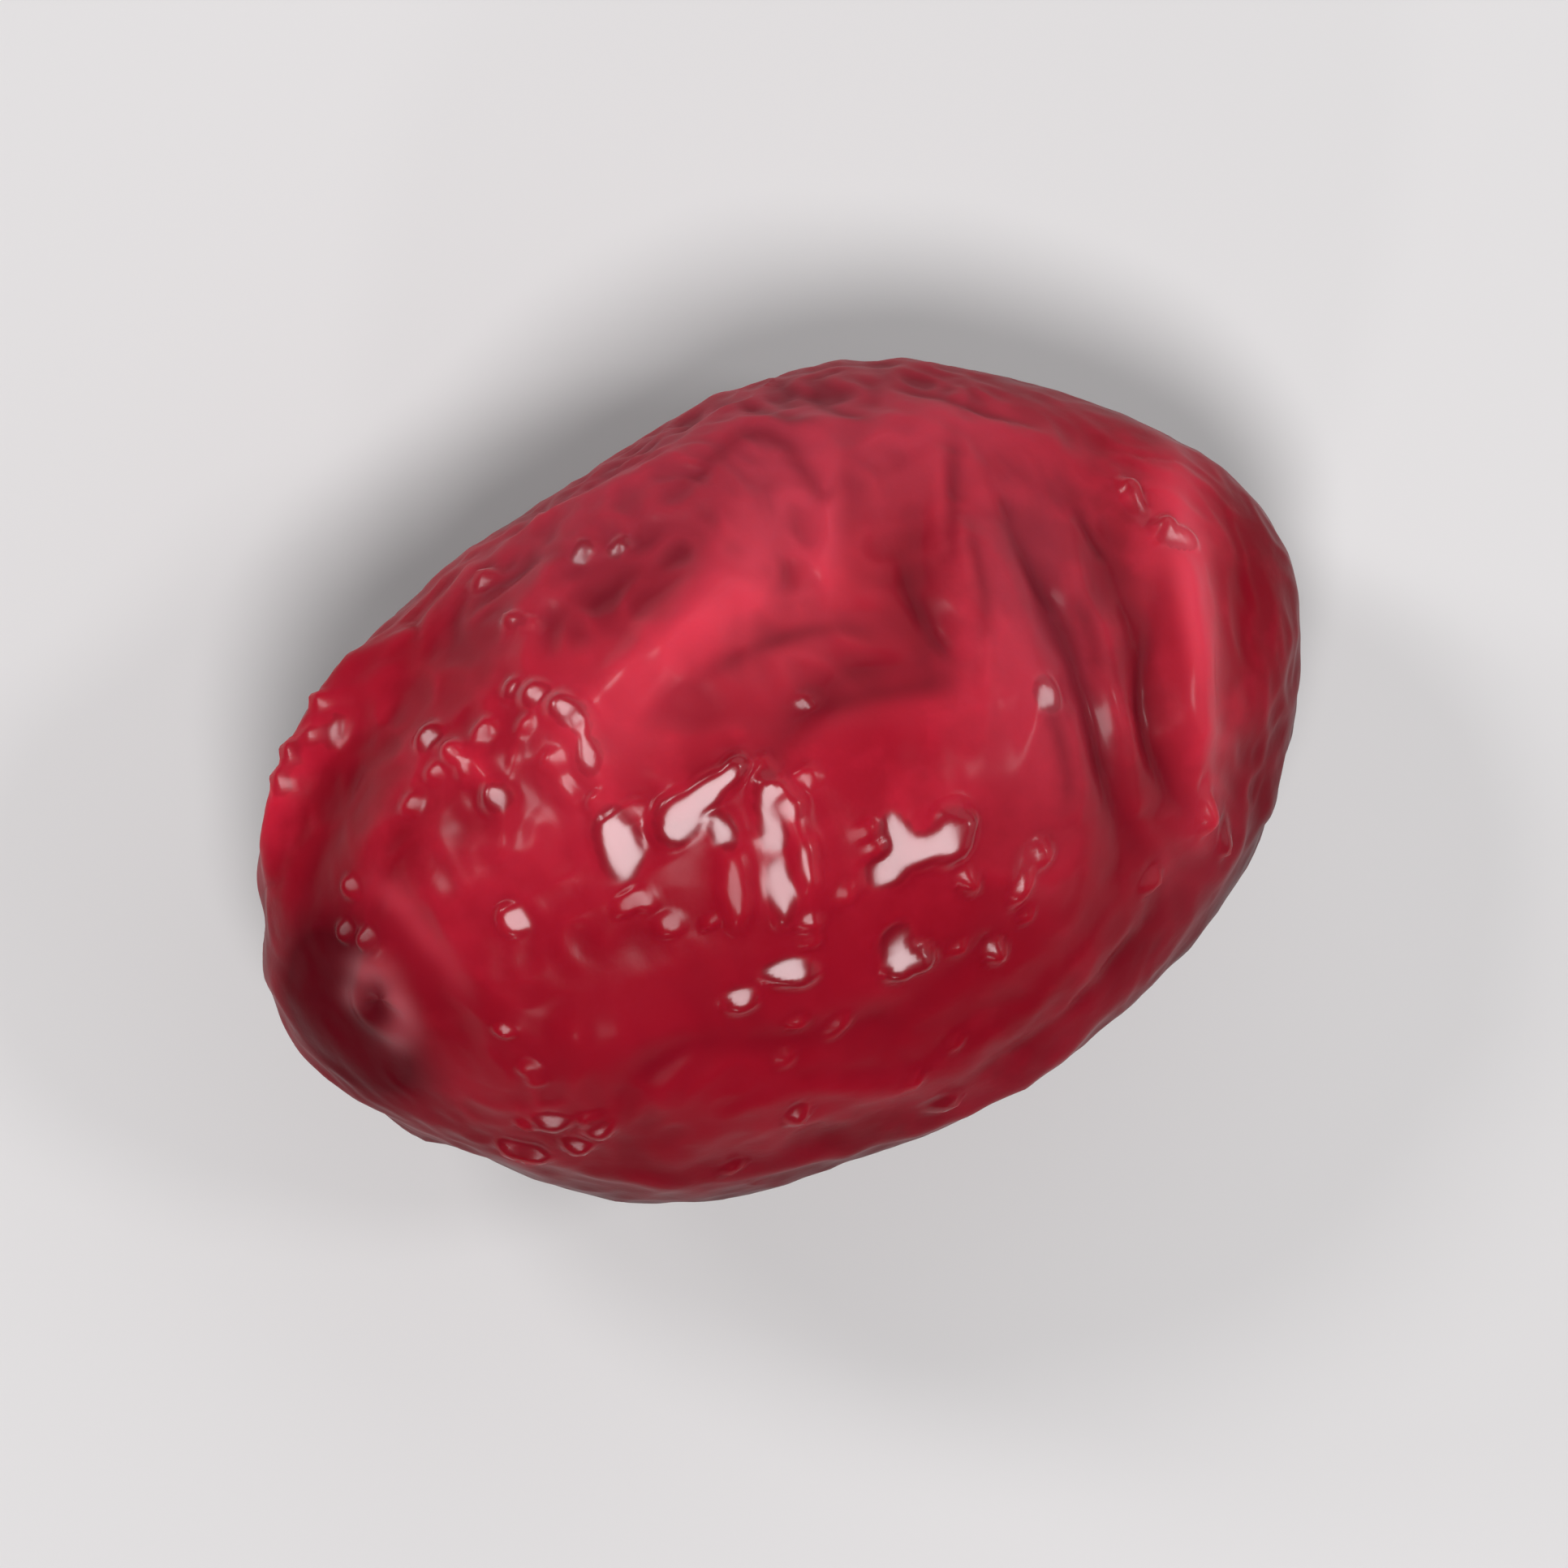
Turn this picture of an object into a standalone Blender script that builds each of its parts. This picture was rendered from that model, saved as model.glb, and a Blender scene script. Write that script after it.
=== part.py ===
"""A cornelian cherry, dried and still wet with its own syrup, lying on its side.

The fruit is one solid: an egg-shaped body, 17.7 mm long, whose skin has shrunk. The skin has sunk into
broad flats, stands in folds and ridges between them, and is crinkled all over. The round scar of the flower
is near the -X end, turned a little upwards, and the pit where the stalk was is opposite it. The fruit rests
at Z = 0 on a small flat spot under its weight, and X runs along it.
"""

import bmesh
import bpy
import numpy as np

MM = 0.001

# Driving dimensions of the whole fruit
LENGTH = 17.7 * MM
WIDTH = 12.1 * MM
HEIGHT = 11.0 * MM
REST_DEPTH = 0.35 * MM  # what the flat spot takes off the rounded underside
CUT_SNAP = 0.04 * MM  # points this near the cut are moved on to it

# The rounded body under the folds, about its own centre
BODY_HALF_SIZE = np.array([9.1, 6.0, 5.6]) * MM
BODY_TILT_DEG = 4.0  # the scar's end is raised this much above the other
SCAR_TURN_DEG = 36.0  # the scar's angle above the body's end, on the round that the body is stretched from
SCAR_ASIDE_DEG = 2.0

# The mesh: rings from the scar to the stalk pit, and faces round each ring
RINGS = 64
SEGMENTS = 84
RING_CROWDING = 0.045  # rings stand closer at the two ends, where the scar and the pit are

# Flats, where the skin has sunk: heading from +X towards +Y, height above level, and depth in mm
FLATS = [
    (100, 8, 0.42),
    (124, 40, 0.25),
    (158, 10, 0.12),
    (50, 4, 0.30),
    (-135, 0, 0.35),
    (45, 52, 0.45),
    (8, 48, 0.42),
    (-52, 34, 0.25),
    (-100, 30, 0.16),
    (-146, 22, 0.30),
    (-35, -8, 0.35),
    (-88, -22, 0.42),
    (-150, -24, 0.40),
    (150, -34, 0.45),
    (92, -34, 0.50),
    (35, -20, 0.42),
    (10, -46, 0.25),
    (185, -50, 0.25),
]
FLAT_SHARPNESS = 11.0

# Folds on the upper side: height and width in mm, then points along and across the fruit, in mm, from above
UPPER_FOLDS = [
    (0.32, 0.65, [(8.0, 1.9), (7.6, 0.6), (7.0, -1.0), (6.3, -2.3), (5.7, -3.8)]),
    (-0.17, 0.60, [(6.9, 1.6), (6.5, -0.1), (6.0, -1.2), (5.6, -2.1), (5.2, -3.3)]),
    (-0.08, 0.60, [(8.6, 0.6), (8.0, -1.0), (7.3, -2.2)]),
    (0.14, 0.50, [(6.2, 1.8), (5.8, 0.1), (5.4, -1.2), (4.9, -3.1)]),
    (-0.18, 0.48, [(5.6, 2.6), (5.3, 0.8), (5.0, -0.4), (4.6, -2.1), (4.3, -3.8)]),
    (0.17, 0.75, [(5.0, 4.0), (4.6, 2.2), (4.3, 0.6), (4.3, -0.9), (3.9, -2.6)]),
    (-0.17, 0.60, [(4.2, 4.0), (3.7, 2.3), (3.2, 1.2), (2.9, -0.2)]),
    (0.15, 0.60, [(3.2, 4.7), (2.7, 3.2), (2.2, 1.9)]),
    (-0.10, 0.45, [(2.1, 4.5), (1.6, 3.3), (1.5, 2.3)]),
    (0.14, 0.75, [(-1.8, 5.2), (0.6, 5.0), (2.4, 4.8), (4.0, 4.3), (5.4, 3.8), (6.6, 2.7), (7.5, 1.7)]),
    (-0.15, 0.45, [(-0.2, 0.2), (0.9, 0.9), (1.9, 1.0), (3.0, 0.5)]),
    (0.13, 0.75, [(-2.8, 2.3), (-0.9, 2.5), (0.4, 3.0), (1.1, 3.8), (1.8, 4.6)]),
    (-0.05, 0.60, [(-3.6, 4.1), (-1.6, 3.8), (0.0, 3.9), (1.2, 4.7)]),
    (0.10, 0.36, [(-3.2, 3.1), (-2.5, 2.6), (-2.3, 1.8), (-2.4, 0.9), (-2.6, 0.1)]),
    (0.11, 0.30, [(-4.7, 3.1), (-4.1, 2.4), (-3.9, 1.6), (-4.2, 0.8)]),
    (-0.12, 0.75, [(-5.3, 3.7), (-6.4, 3.0), (-7.1, 2.3), (-7.6, 1.3)]),
    (0.36, 0.60, [(-4.2, 4.9), (-5.3, 4.6), (-6.3, 4.0), (-7.3, 3.2), (-8.0, 2.2)]),
    (0.13, 0.36, [(-1.9, 0.2), (-1.2, 0.4), (-0.4, 0.5)]),
    (0.12, 0.28, [(-0.2, 0.1), (-0.1, -0.4), (-0.2, -1.2), (-0.5, -1.9)]),
    (0.10, 0.28, [(-1.0, -0.3), (-1.5, -1.5)]),
    (-0.12, 0.60, [(-5.0, -4.0), (-3.9, -3.1), (-2.9, -3.0), (-1.6, -3.6), (0.0, -3.9), (1.8, -3.6)]),
    (0.09, 0.50, [(-3.9, -4.6), (-2.4, -4.3), (-0.6, -4.9), (1.4, -4.9), (3.4, -4.5)]),
    (-0.10, 0.40, [(0.6, -5.4), (2.4, -5.2), (4.4, -4.6)]),
    (0.12, 0.45, [(1.4, -1.4), (2.2, -2.6), (3.4, -3.4)]),
    (0.12, 0.50, [(-5.8, 1.6), (-5.4, 0.3), (-5.5, -1.1), (-6.2, -2.2)]),
    (0.12, 0.45, [(-6.3, -3.7), (-3.4, -5.3), (0.2, -5.8), (3.4, -5.3)]),
]

# Folds on the underside, given in the same way
LOWER_FOLDS = [
    (0.30, 0.55, [(-7.6, -1.6), (-5.2, -2.9), (-2.6, -3.6), (0.4, -4.1), (3.2, -4.0)]),
    (-0.28, 0.50, [(-6.0, -3.3), (-3.4, -4.6), (-0.6, -5.2)]),
    (0.28, 0.50, [(-7.2, 1.4), (-5.4, 2.8), (-3.0, 3.9), (-0.8, 4.0), (1.6, 4.4)]),
    (-0.26, 0.50, [(-5.2, 3.9), (-2.6, 4.9), (0.6, 5.1), (3.2, 4.6)]),
    (0.28, 0.45, [(3.4, 3.9), (5.0, 2.6), (6.1, 1.2), (6.4, -0.4)]),
    (-0.28, 0.45, [(4.6, -3.9), (5.6, -2.4), (6.0, -1.0), (7.2, 0.2)]),
    (0.26, 0.45, [(7.9, -2.0), (7.4, -0.9), (7.8, 0.7), (7.3, 2.3)]),
    (-0.24, 0.42, [(-5.6, 0.6), (-4.6, -0.9), (-4.8, -2.0)]),
    (0.24, 0.42, [(1.2, -5.0), (3.0, -4.6), (4.9, -3.8), (6.4, -2.6)]),
    (-0.28, 0.45, [(-5.4, -4.3), (-1.6, -5.6), (2.2, -5.6), (5.6, -4.2)]),
    (0.26, 0.42, [(-2.4, 5.5), (0.8, 5.8), (3.8, 5.2), (6.2, 3.9)]),
]
FOLD_SAMPLES = 40
FOLD_FADE = 0.25  # share of its length over which a fold rises from either end
FOLD_END = 0.15  # share of its height that it has at the very end

# Lumps, creases and crinkles that cover the whole skin
NOISE_SEED = 23
LUMP_SPACING = 5.2 * MM
LUMP_HEIGHT = 0.16 * MM
CREASE_SPACING = 2.5 * MM
CREASE_HEIGHT = 0.14 * MM
CREASE_STRETCH = np.array([0.62, 1.0, 1.0])  # creases run longer along the fruit than across it
CRINKLE_SPACING = 1.25 * MM
CRINKLE_HEIGHT = 0.07 * MM
PATCH_SPACING = 5.5 * MM  # some stretches of skin are more creased than others
WARP_SPACING = 3.4 * MM
WARP_REACH = 0.9 * MM
RIDGE_SPREAD = 0.32
RIDGE_ROUNDING = 0.17
SMOOTH_CHEEK = np.array([1.2, -2.4, 4.8]) * MM  # the smoothest part of the skin
SMOOTH_REACH = 4.2 * MM
SMOOTH_SHARE = 0.22  # what is left of the creases there
PRESSED_REACH = 1.6 * MM  # the skin is smoother this near the surface on which it rests
PRESSED_SHARE = 0.2

# The flower scar: a shallow dish, with a raised ring and the stump of the style in it
DISH_RADIUS = 1.95 * MM
DISH_DEPTH = 0.20 * MM
SCAR_CALM = 0.85  # the share by which folds and creases die down in the dish
SCAR_RING_RADIUS = 0.47 * MM
SCAR_RING_WIDTH = 0.27 * MM
SCAR_RING_HEIGHT = 0.12 * MM
STUMP_RADIUS = 0.26 * MM
STUMP_HEIGHT = 0.02 * MM

# The pit where the stalk was
PIT_RADIUS = 1.25 * MM
PIT_DEPTH = 0.85 * MM
PIT_RIM_HEIGHT = 0.1 * MM

SKIN_COLOUR = (0.42, 0.028, 0.045, 1.0)
SKIN_ROUGHNESS = 0.25


def clear_scene():
    """Removes what the scene starts with."""
    for thing in list(bpy.data.objects):
        bpy.data.objects.remove(thing, do_unlink=True)


def tilt_matrix():
    """The turn about Y that raises the body's -X end."""
    turn = np.radians(BODY_TILT_DEG)
    return np.array([
        [np.cos(turn), 0.0, np.sin(turn)],
        [0.0, 1.0, 0.0],
        [-np.sin(turn), 0.0, np.cos(turn)],
    ])


def scar_direction():
    """The unit vector, on the round that the body is stretched from, on which the scar lies."""
    rise, aside = np.radians([SCAR_TURN_DEG, SCAR_ASIDE_DEG])
    return np.array([-np.cos(rise) * np.cos(aside), -np.sin(aside), np.sin(rise) * np.cos(aside)])


def round_grid():
    """Unit vectors of a round whose poles are the scar and the stalk pit: pole, rings, pole."""
    pole = scar_direction()
    side = np.cross([0.0, 1.0, 0.0], pole)
    side /= np.linalg.norm(side)
    other = np.cross(pole, side)
    share = np.arange(1, RINGS) / RINGS
    down = np.pi * (share - RING_CROWDING * np.sin(2 * np.pi * share))
    round_angle = 2 * np.pi * np.arange(SEGMENTS) / SEGMENTS
    down, round_angle = [part.ravel()[:, None] for part in np.meshgrid(down, round_angle, indexing="ij")]
    rings = np.cos(down) * pole + np.sin(down) * (np.cos(round_angle) * side + np.sin(round_angle) * other)
    return np.vstack([pole, rings, -pole])


def grid_faces():
    """Quads between neighbouring rings, and a fan of triangles at each pole."""
    ring_start = 1 + np.arange(RINGS - 1) * SEGMENTS
    here = np.arange(SEGMENTS)
    after = (here + 1) % SEGMENTS
    last_pole = 1 + (RINGS - 1) * SEGMENTS
    faces = [(0, 1 + a, 1 + b) for a, b in zip(here, after)]
    for start in ring_start[:-1]:
        below = start + SEGMENTS
        faces += [(start + a, below + a, below + b, start + b) for a, b in zip(here, after)]
    faces += [(last_pole, ring_start[-1] + b, ring_start[-1] + a) for a, b in zip(here, after)]
    return [tuple(int(index) for index in face) for face in faces]


def body_points(directions):
    """Points of the rounded body, and the directions in which its surface faces."""
    tilt = tilt_matrix()
    points = (directions * BODY_HALF_SIZE) @ tilt.T
    normals = (directions / BODY_HALF_SIZE) @ tilt.T
    return points, normals / np.linalg.norm(normals, axis=1, keepdims=True)


def lifted(plan, side):
    """Plan points lifted or dropped on to the rounded body: the roots of its quadratic in Z."""
    tilt = tilt_matrix()
    form = tilt @ np.diag(BODY_HALF_SIZE ** -2.0) @ tilt.T
    x, y = np.asarray(plan, float).T * MM
    linear = 2 * (form[0, 2] * x + form[1, 2] * y)
    constant = form[0, 0] * x * x + form[1, 1] * y * y + 2 * form[0, 1] * x * y - 1.0
    inside = np.maximum(linear ** 2 - 4 * form[2, 2] * constant, 0.0)
    return np.column_stack([x, y, (-linear + side * np.sqrt(inside)) / (2 * form[2, 2])])


def smooth_path(points, samples):
    """A Catmull-Rom curve through the points, ends included."""
    ends = np.vstack([2 * points[0] - points[1], points, 2 * points[-1] - points[-2]])
    place = np.linspace(0, len(points) - 1, samples)
    first = np.minimum(place.astype(int), len(points) - 2)
    t = (place - first)[:, None]
    a, b, c, d = [ends[first + step] for step in range(4)]
    bend = 2 * a - 5 * b + 4 * c - d
    twist = 3 * b - a - 3 * c + d
    return 0.5 * (2 * b + (c - a) * t + bend * t ** 2 + twist * t ** 3)


def fold_heights(points):
    """What the folds add: each is a soft crest on a smooth path, which fades out at both ends."""
    total = np.zeros(len(points))
    for side, folds in ((1, UPPER_FOLDS), (-1, LOWER_FOLDS)):
        for height, width, plan in folds:
            path = smooth_path(lifted(plan, side), FOLD_SAMPLES)
            away = np.linalg.norm(points[:, None, :] - path[None], axis=2)
            nearest = away.argmin(axis=1)
            reach = away.min(axis=1) / (width * MM)
            along = nearest / (FOLD_SAMPLES - 1)
            fade = np.minimum(np.minimum(along, 1 - along) / FOLD_FADE, 1) ** 0.6
            crest = np.exp(1.0 - np.sqrt(1.0 + 4.0 * reach ** 2))
            total += height * MM * crest * (FOLD_END + (1 - FOLD_END) * fade)
    return total


def smooth_noise(places, seed):
    """Gradient noise, about -0.7 to 0.7: random slopes at the corners of a unit lattice, blended between."""
    size = 16
    slopes = np.random.default_rng(seed).normal(size=(size, size, size, 3))
    slopes /= np.linalg.norm(slopes, axis=3, keepdims=True)
    cell = np.floor(places).astype(int)
    inside = places - cell
    ease = inside ** 3 * (inside * (inside * 6 - 15) + 10)
    total = np.zeros(len(places))
    for corner in np.ndindex(2, 2, 2):
        slope = slopes[tuple(((cell + corner) % size).T)]
        weight = np.where(corner, ease, 1 - ease).prod(axis=1)
        total += weight * ((inside - corner) * slope).sum(axis=1)
    return total


def warped(points):
    """The points shifted by slow noise, so that creases wander."""
    shift = [smooth_noise(points / WARP_SPACING, NOISE_SEED + axis) for axis in range(3)]
    return points + WARP_REACH * np.column_stack(shift)


def ridges(places, seed):
    """Crests where noise crosses zero, rounded valleys between them: near 1 on a crest, 0 in a valley."""
    from_crest = smooth_noise(places, seed) / RIDGE_SPREAD
    return 1 - np.minimum(np.sqrt(from_crest ** 2 + RIDGE_ROUNDING ** 2), 1.0)


def skin_heights(points):
    """Lumps, creases and crinkles, weaker over the smooth cheek and where the fruit is pressed flat."""
    far = np.linalg.norm(points - SMOOTH_CHEEK, axis=1) / SMOOTH_REACH
    rough = SMOOTH_SHARE + (1 - SMOOTH_SHARE) * np.clip(far - 0.35, 0, 1) ** 1.2
    rough *= np.clip((points[:, 2] + BODY_HALF_SIZE[2]) / PRESSED_REACH, PRESSED_SHARE, 1)
    wandering = warped(points)
    lumps = smooth_noise(points / LUMP_SPACING, NOISE_SEED + 10)
    creases = ridges(wandering * CREASE_STRETCH / CREASE_SPACING, NOISE_SEED + 11) - 0.35
    crinkles = ridges(wandering / CRINKLE_SPACING, NOISE_SEED + 12) - 0.4
    patches = np.clip(0.85 + 1.5 * smooth_noise(points / PATCH_SPACING, NOISE_SEED + 13), 0.3, 1.4)
    return LUMP_HEIGHT * lumps + rough * patches * (CREASE_HEIGHT * creases + CRINKLE_HEIGHT * crinkles)


def scar_heights(points, centre):
    """The dish, ring and stump of the flower scar, by distance from its centre and angle round it.

    The dish and the ring are a little out of round, and the ring is higher on one side.
    """
    offset = points - centre
    away = np.linalg.norm(offset, axis=1)
    rise = np.radians(SCAR_TURN_DEG)
    around = np.arctan2(offset @ np.array([np.sin(rise), 0.0, np.cos(rise)]), offset[:, 1])
    dish = -DISH_DEPTH * np.exp(-((away / (DISH_RADIUS * (1 + 0.12 * np.sin(2 * around + 1.9)))) ** 4))
    ring_radius = SCAR_RING_RADIUS * (1 + 0.17 * np.sin(2 * around + 0.6) + 0.09 * np.sin(3 * around))
    ring_height = SCAR_RING_HEIGHT * (1 + 0.35 * np.sin(around + 2.2) + 0.18 * np.sin(4 * around))
    ring = ring_height * np.exp(-(((away - ring_radius) / SCAR_RING_WIDTH) ** 2))
    stump = STUMP_HEIGHT * np.exp(-((away / STUMP_RADIUS) ** 2))
    return dish + ring + stump


def pit_heights(points, centre):
    """The pit at the stalk's end: a funnel with a low rounded rim."""
    away = np.linalg.norm(points - centre, axis=1) / PIT_RADIUS
    funnel = -PIT_DEPTH / (1 + (away / 0.6) ** 2)
    rim = PIT_RIM_HEIGHT * np.exp(-((away - 1.3) ** 2) / 0.1)
    return funnel + rim


def sunken(points):
    """The share by which the flats pull each point inwards: a soft least of 1 and each plane's distance."""
    heading, rise, depth = np.array(FLATS, float).T
    heading, rise = np.radians(heading), np.radians(rise)
    facing = np.column_stack([np.cos(rise) * np.cos(heading), np.cos(rise) * np.sin(heading), np.sin(rise)])
    reach = np.linalg.norm((facing @ tilt_matrix()) * BODY_HALF_SIZE, axis=1)
    over = np.maximum(points @ facing.T, 0) / (reach - depth * MM)
    return (1 + (over ** FLAT_SHARPNESS).sum(axis=1)) ** (-1 / FLAT_SHARPNESS)


def fitted(points):
    """The points scaled to the driving dimensions and lowered by what the flat spot takes off.

    Points that end up very near Z = 0 are moved on to it, so that the cut there leaves no slivers.
    """
    low, high = points.min(axis=0), points.max(axis=0)
    size = np.array([LENGTH, WIDTH, HEIGHT + REST_DEPTH])
    placed = (points - (low + high) / 2) * size / (high - low)
    placed[:, 2] += size[2] / 2 - REST_DEPTH
    placed[np.abs(placed[:, 2]) < CUT_SNAP, 2] = 0.0
    return placed


def cut_flat(mesh):
    """Takes off what is below Z = 0 and closes the fruit there with one flat face."""
    body = bmesh.new()
    body.from_mesh(mesh)
    everything = body.verts[:] + body.edges[:] + body.faces[:]
    bmesh.ops.bisect_plane(
        body, geom=everything, dist=1e-7, plane_co=(0, 0, 0), plane_no=(0, 0, -1), clear_outer=True
    )
    rim = [edge for edge in body.edges if edge.is_boundary]
    flat = bmesh.ops.contextual_create(body, geom=rim)["faces"]
    bmesh.ops.recalc_face_normals(body, faces=body.faces[:])
    for face in body.faces:
        face.smooth = True
    for face in flat:
        face.smooth = False
    body.to_mesh(mesh)
    body.free()


def fruit_points():
    """Every point of the fruit's surface, in the order of the grid."""
    base, normals = body_points(round_grid())
    scar, pit = base[0], base[-1]
    near_scar = np.exp(-((np.linalg.norm(base - scar, axis=1) / (1.1 * DISH_RADIUS)) ** 4))
    height = (fold_heights(base) + skin_heights(base)) * (1 - SCAR_CALM * near_scar)
    height += scar_heights(base, scar) + pit_heights(base, pit)
    return fitted(base * sunken(base)[:, None] + height[:, None] * normals)


def skin_material():
    """Glossy crimson skin."""
    material = bpy.data.materials.new("fruit_skin")
    material.use_nodes = True
    shader = material.node_tree.nodes["Principled BSDF"]
    shader.inputs["Base Color"].default_value = SKIN_COLOUR
    shader.inputs["Roughness"].default_value = SKIN_ROUGHNESS
    shader.inputs["Metallic"].default_value = 0.0
    return material


def make_fruit():
    """The fruit as one closed mesh."""
    mesh = bpy.data.meshes.new("fruit")
    mesh.from_pydata(fruit_points().tolist(), [], grid_faces())
    mesh.materials.append(skin_material())
    cut_flat(mesh)
    fruit = bpy.data.objects.new("fruit", mesh)
    bpy.context.scene.collection.objects.link(fruit)
    return fruit


clear_scene()
make_fruit()
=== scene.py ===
# %% [markdown]
# A dried cornelian cherry. The real fruit is a drupe: one woody stone in soft flesh, under a thin skin.
# Dried in its own syrup it loses water, so the skin becomes too large for what is inside. It sinks into
# broad flats, stands in folds between them, and wrinkles finely everywhere else. The syrup then dries on
# it as a glassy film with beads.
#
# It could be sculpted by hand, or left to a cloth simulation that shrinks the inside. Here it is one
# surface worked out from a formula, layer upon layer from the largest form to the smallest, because
# each layer can then be set against the real fruit and changed by itself.

import bpy
import numpy as np
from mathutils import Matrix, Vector


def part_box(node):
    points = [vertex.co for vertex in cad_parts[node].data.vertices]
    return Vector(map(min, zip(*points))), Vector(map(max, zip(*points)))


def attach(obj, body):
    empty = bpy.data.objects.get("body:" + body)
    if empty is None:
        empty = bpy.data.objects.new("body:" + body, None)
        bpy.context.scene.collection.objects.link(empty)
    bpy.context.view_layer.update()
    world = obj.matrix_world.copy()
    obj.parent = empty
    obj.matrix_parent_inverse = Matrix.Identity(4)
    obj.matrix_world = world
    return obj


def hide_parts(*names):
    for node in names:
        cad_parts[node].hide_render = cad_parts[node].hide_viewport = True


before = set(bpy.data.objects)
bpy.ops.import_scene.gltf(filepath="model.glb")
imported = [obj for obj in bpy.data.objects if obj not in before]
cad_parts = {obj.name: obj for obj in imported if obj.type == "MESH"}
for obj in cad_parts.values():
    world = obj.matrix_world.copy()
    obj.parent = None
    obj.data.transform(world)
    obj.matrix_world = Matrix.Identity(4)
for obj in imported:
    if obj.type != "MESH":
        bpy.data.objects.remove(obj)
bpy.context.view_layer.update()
box_low, box_high = np.array([list(corner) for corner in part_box("fruit")])
box_size = box_high - box_low
MM = 0.001
print("the solid fruit's box in mm:", np.round(box_size / MM, 2))

# %% [markdown]
# The real fruit is lit and looked at from straight above, and lies with its scar to the lower left. All
# that follows uses the solid's own frame: X along the fruit, Z up. Places that are easier to say in the
# picture, such as the lamps', are given as right, up and towards the camera, and turned into that frame.

# %% Picture axes
FRUIT_TURN_DEG = 26.8  # how far the fruit's X axis is turned up from the picture's right

picture_turn = np.radians(FRUIT_TURN_DEG)
picture_right = np.array([np.cos(picture_turn), -np.sin(picture_turn), 0.0])
picture_up = np.array([np.sin(picture_turn), np.cos(picture_turn), 0.0])
towards_camera = np.array([0.0, 0.0, 1.0])


def from_picture(right, up, near):
    """A place in the scene: each picture axis times how far to go along it, added up."""
    return right * picture_right + up * picture_up + near * towards_camera


print("the picture's right is", np.round(picture_right, 3), "and its up is", np.round(picture_up, 3))

# %% [markdown]
# Nature's irregularity needs noise that is the same on each run. Gradient noise gives each corner of a
# lattice a random slope and blends the slopes between corners, so it is smooth at any scale. The lattice
# repeats every 16 cells, too far apart for the eye to notice. Creased skin isn't soft like that noise: it
# has narrow crests between rounded hollows. Folding the noise where it crosses zero gives those.

# %% Noise
LATTICE = 16
NOISE_SEED = 23


def smooth_noise(places, seed):
    """Gradient noise: the eased blend, over a cell's eight corners, of (place - corner) dot slope."""
    slopes = np.random.default_rng(seed).normal(size=(LATTICE, LATTICE, LATTICE, 3))
    slopes /= np.linalg.norm(slopes, axis=3, keepdims=True)
    cell = np.floor(places).astype(int)
    inside = places - cell
    ease = inside ** 3 * (inside * (inside * 6 - 15) + 10)
    total = np.zeros(len(places))
    for corner in np.ndindex(2, 2, 2):
        slope = slopes[tuple(((cell + corner) % LATTICE).T)]
        weight = np.where(corner, ease, 1 - ease).prod(axis=1)
        total += weight * ((inside - corner) * slope).sum(axis=1)
    return total


def ridges(places, seed, spread=0.32, rounding=0.17):
    """Crests where the noise is 0: 1 - sqrt((noise / spread) ** 2 + rounding ** 2), never below 0."""
    from_crest = smooth_noise(places, seed) / spread
    return 1 - np.minimum(np.sqrt(from_crest ** 2 + rounding ** 2), 1.0)


trial = smooth_noise(np.random.default_rng(1).uniform(0, 9, size=(2000, 3)), NOISE_SEED)
print("noise runs from", round(float(trial.min()), 2), "to", round(float(trial.max()), 2))

# %% [markdown]
# The largest form is an egg a little flatter than it is wide. A round of unit directions is stretched to
# it. The round's two poles are put where the fruit has its own: the scar of the flower, and opposite it
# the pit of the stalk. The grid's lines then gather at the two places that need the finest detail.

# %% Body
BODY_HALF_SIZE = np.array([9.1, 6.0, 5.6]) * MM
BODY_TILT_DEG = 4.0  # the scar's end is raised this much above the other
SCAR_TURN_DEG = 36.0  # the scar's angle above the body's end, on the round
SCAR_ASIDE_DEG = 2.0
RINGS = 318
SEGMENTS = 300
RING_CROWDING = 0.025  # rings stand closer at the two poles
TOP_CROWDING = 0.6  # and the points of a ring closer on the upper side

tilt = np.radians(BODY_TILT_DEG)
tilt_matrix = np.array([[np.cos(tilt), 0, np.sin(tilt)], [0, 1, 0], [-np.sin(tilt), 0, np.cos(tilt)]])
scar_rise, scar_aside = np.radians([SCAR_TURN_DEG, SCAR_ASIDE_DEG])
scar_direction = np.array([
    -np.cos(scar_rise) * np.cos(scar_aside), -np.sin(scar_aside), np.sin(scar_rise) * np.cos(scar_aside)
])


def round_grid():
    """Directions cos(down) pole + sin(down) (cos(turn) side + sin(turn) other), with a pole at each end."""
    side = np.cross([0.0, 1.0, 0.0], scar_direction)
    side /= np.linalg.norm(side)
    other = np.cross(scar_direction, side)
    share = np.arange(1, RINGS) / RINGS
    down = np.pi * (share - RING_CROWDING * np.sin(2 * np.pi * share))
    turn = 2 * np.pi * np.arange(SEGMENTS) / SEGMENTS
    turn -= TOP_CROWDING * np.sin(turn)
    down, turn = [part.ravel()[:, None] for part in np.meshgrid(down, turn, indexing="ij")]
    rings = np.cos(down) * scar_direction + np.sin(down) * (np.cos(turn) * side + np.sin(turn) * other)
    return np.vstack([scar_direction, rings, -scar_direction])


def body_points(directions):
    """The stretched round, tilted, and its normals: direction over half-size, tilted, at unit length."""
    normals = (directions / BODY_HALF_SIZE) @ tilt_matrix.T
    normals /= np.linalg.norm(normals, axis=1)[:, None]
    return (directions * BODY_HALF_SIZE) @ tilt_matrix.T, normals


body, body_normals = body_points(round_grid())
scar_place, pit_place = body[0], body[-1]
print(len(body), "points on the body; the scar is at", np.round(scar_place / MM, 2), "mm")

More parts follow.
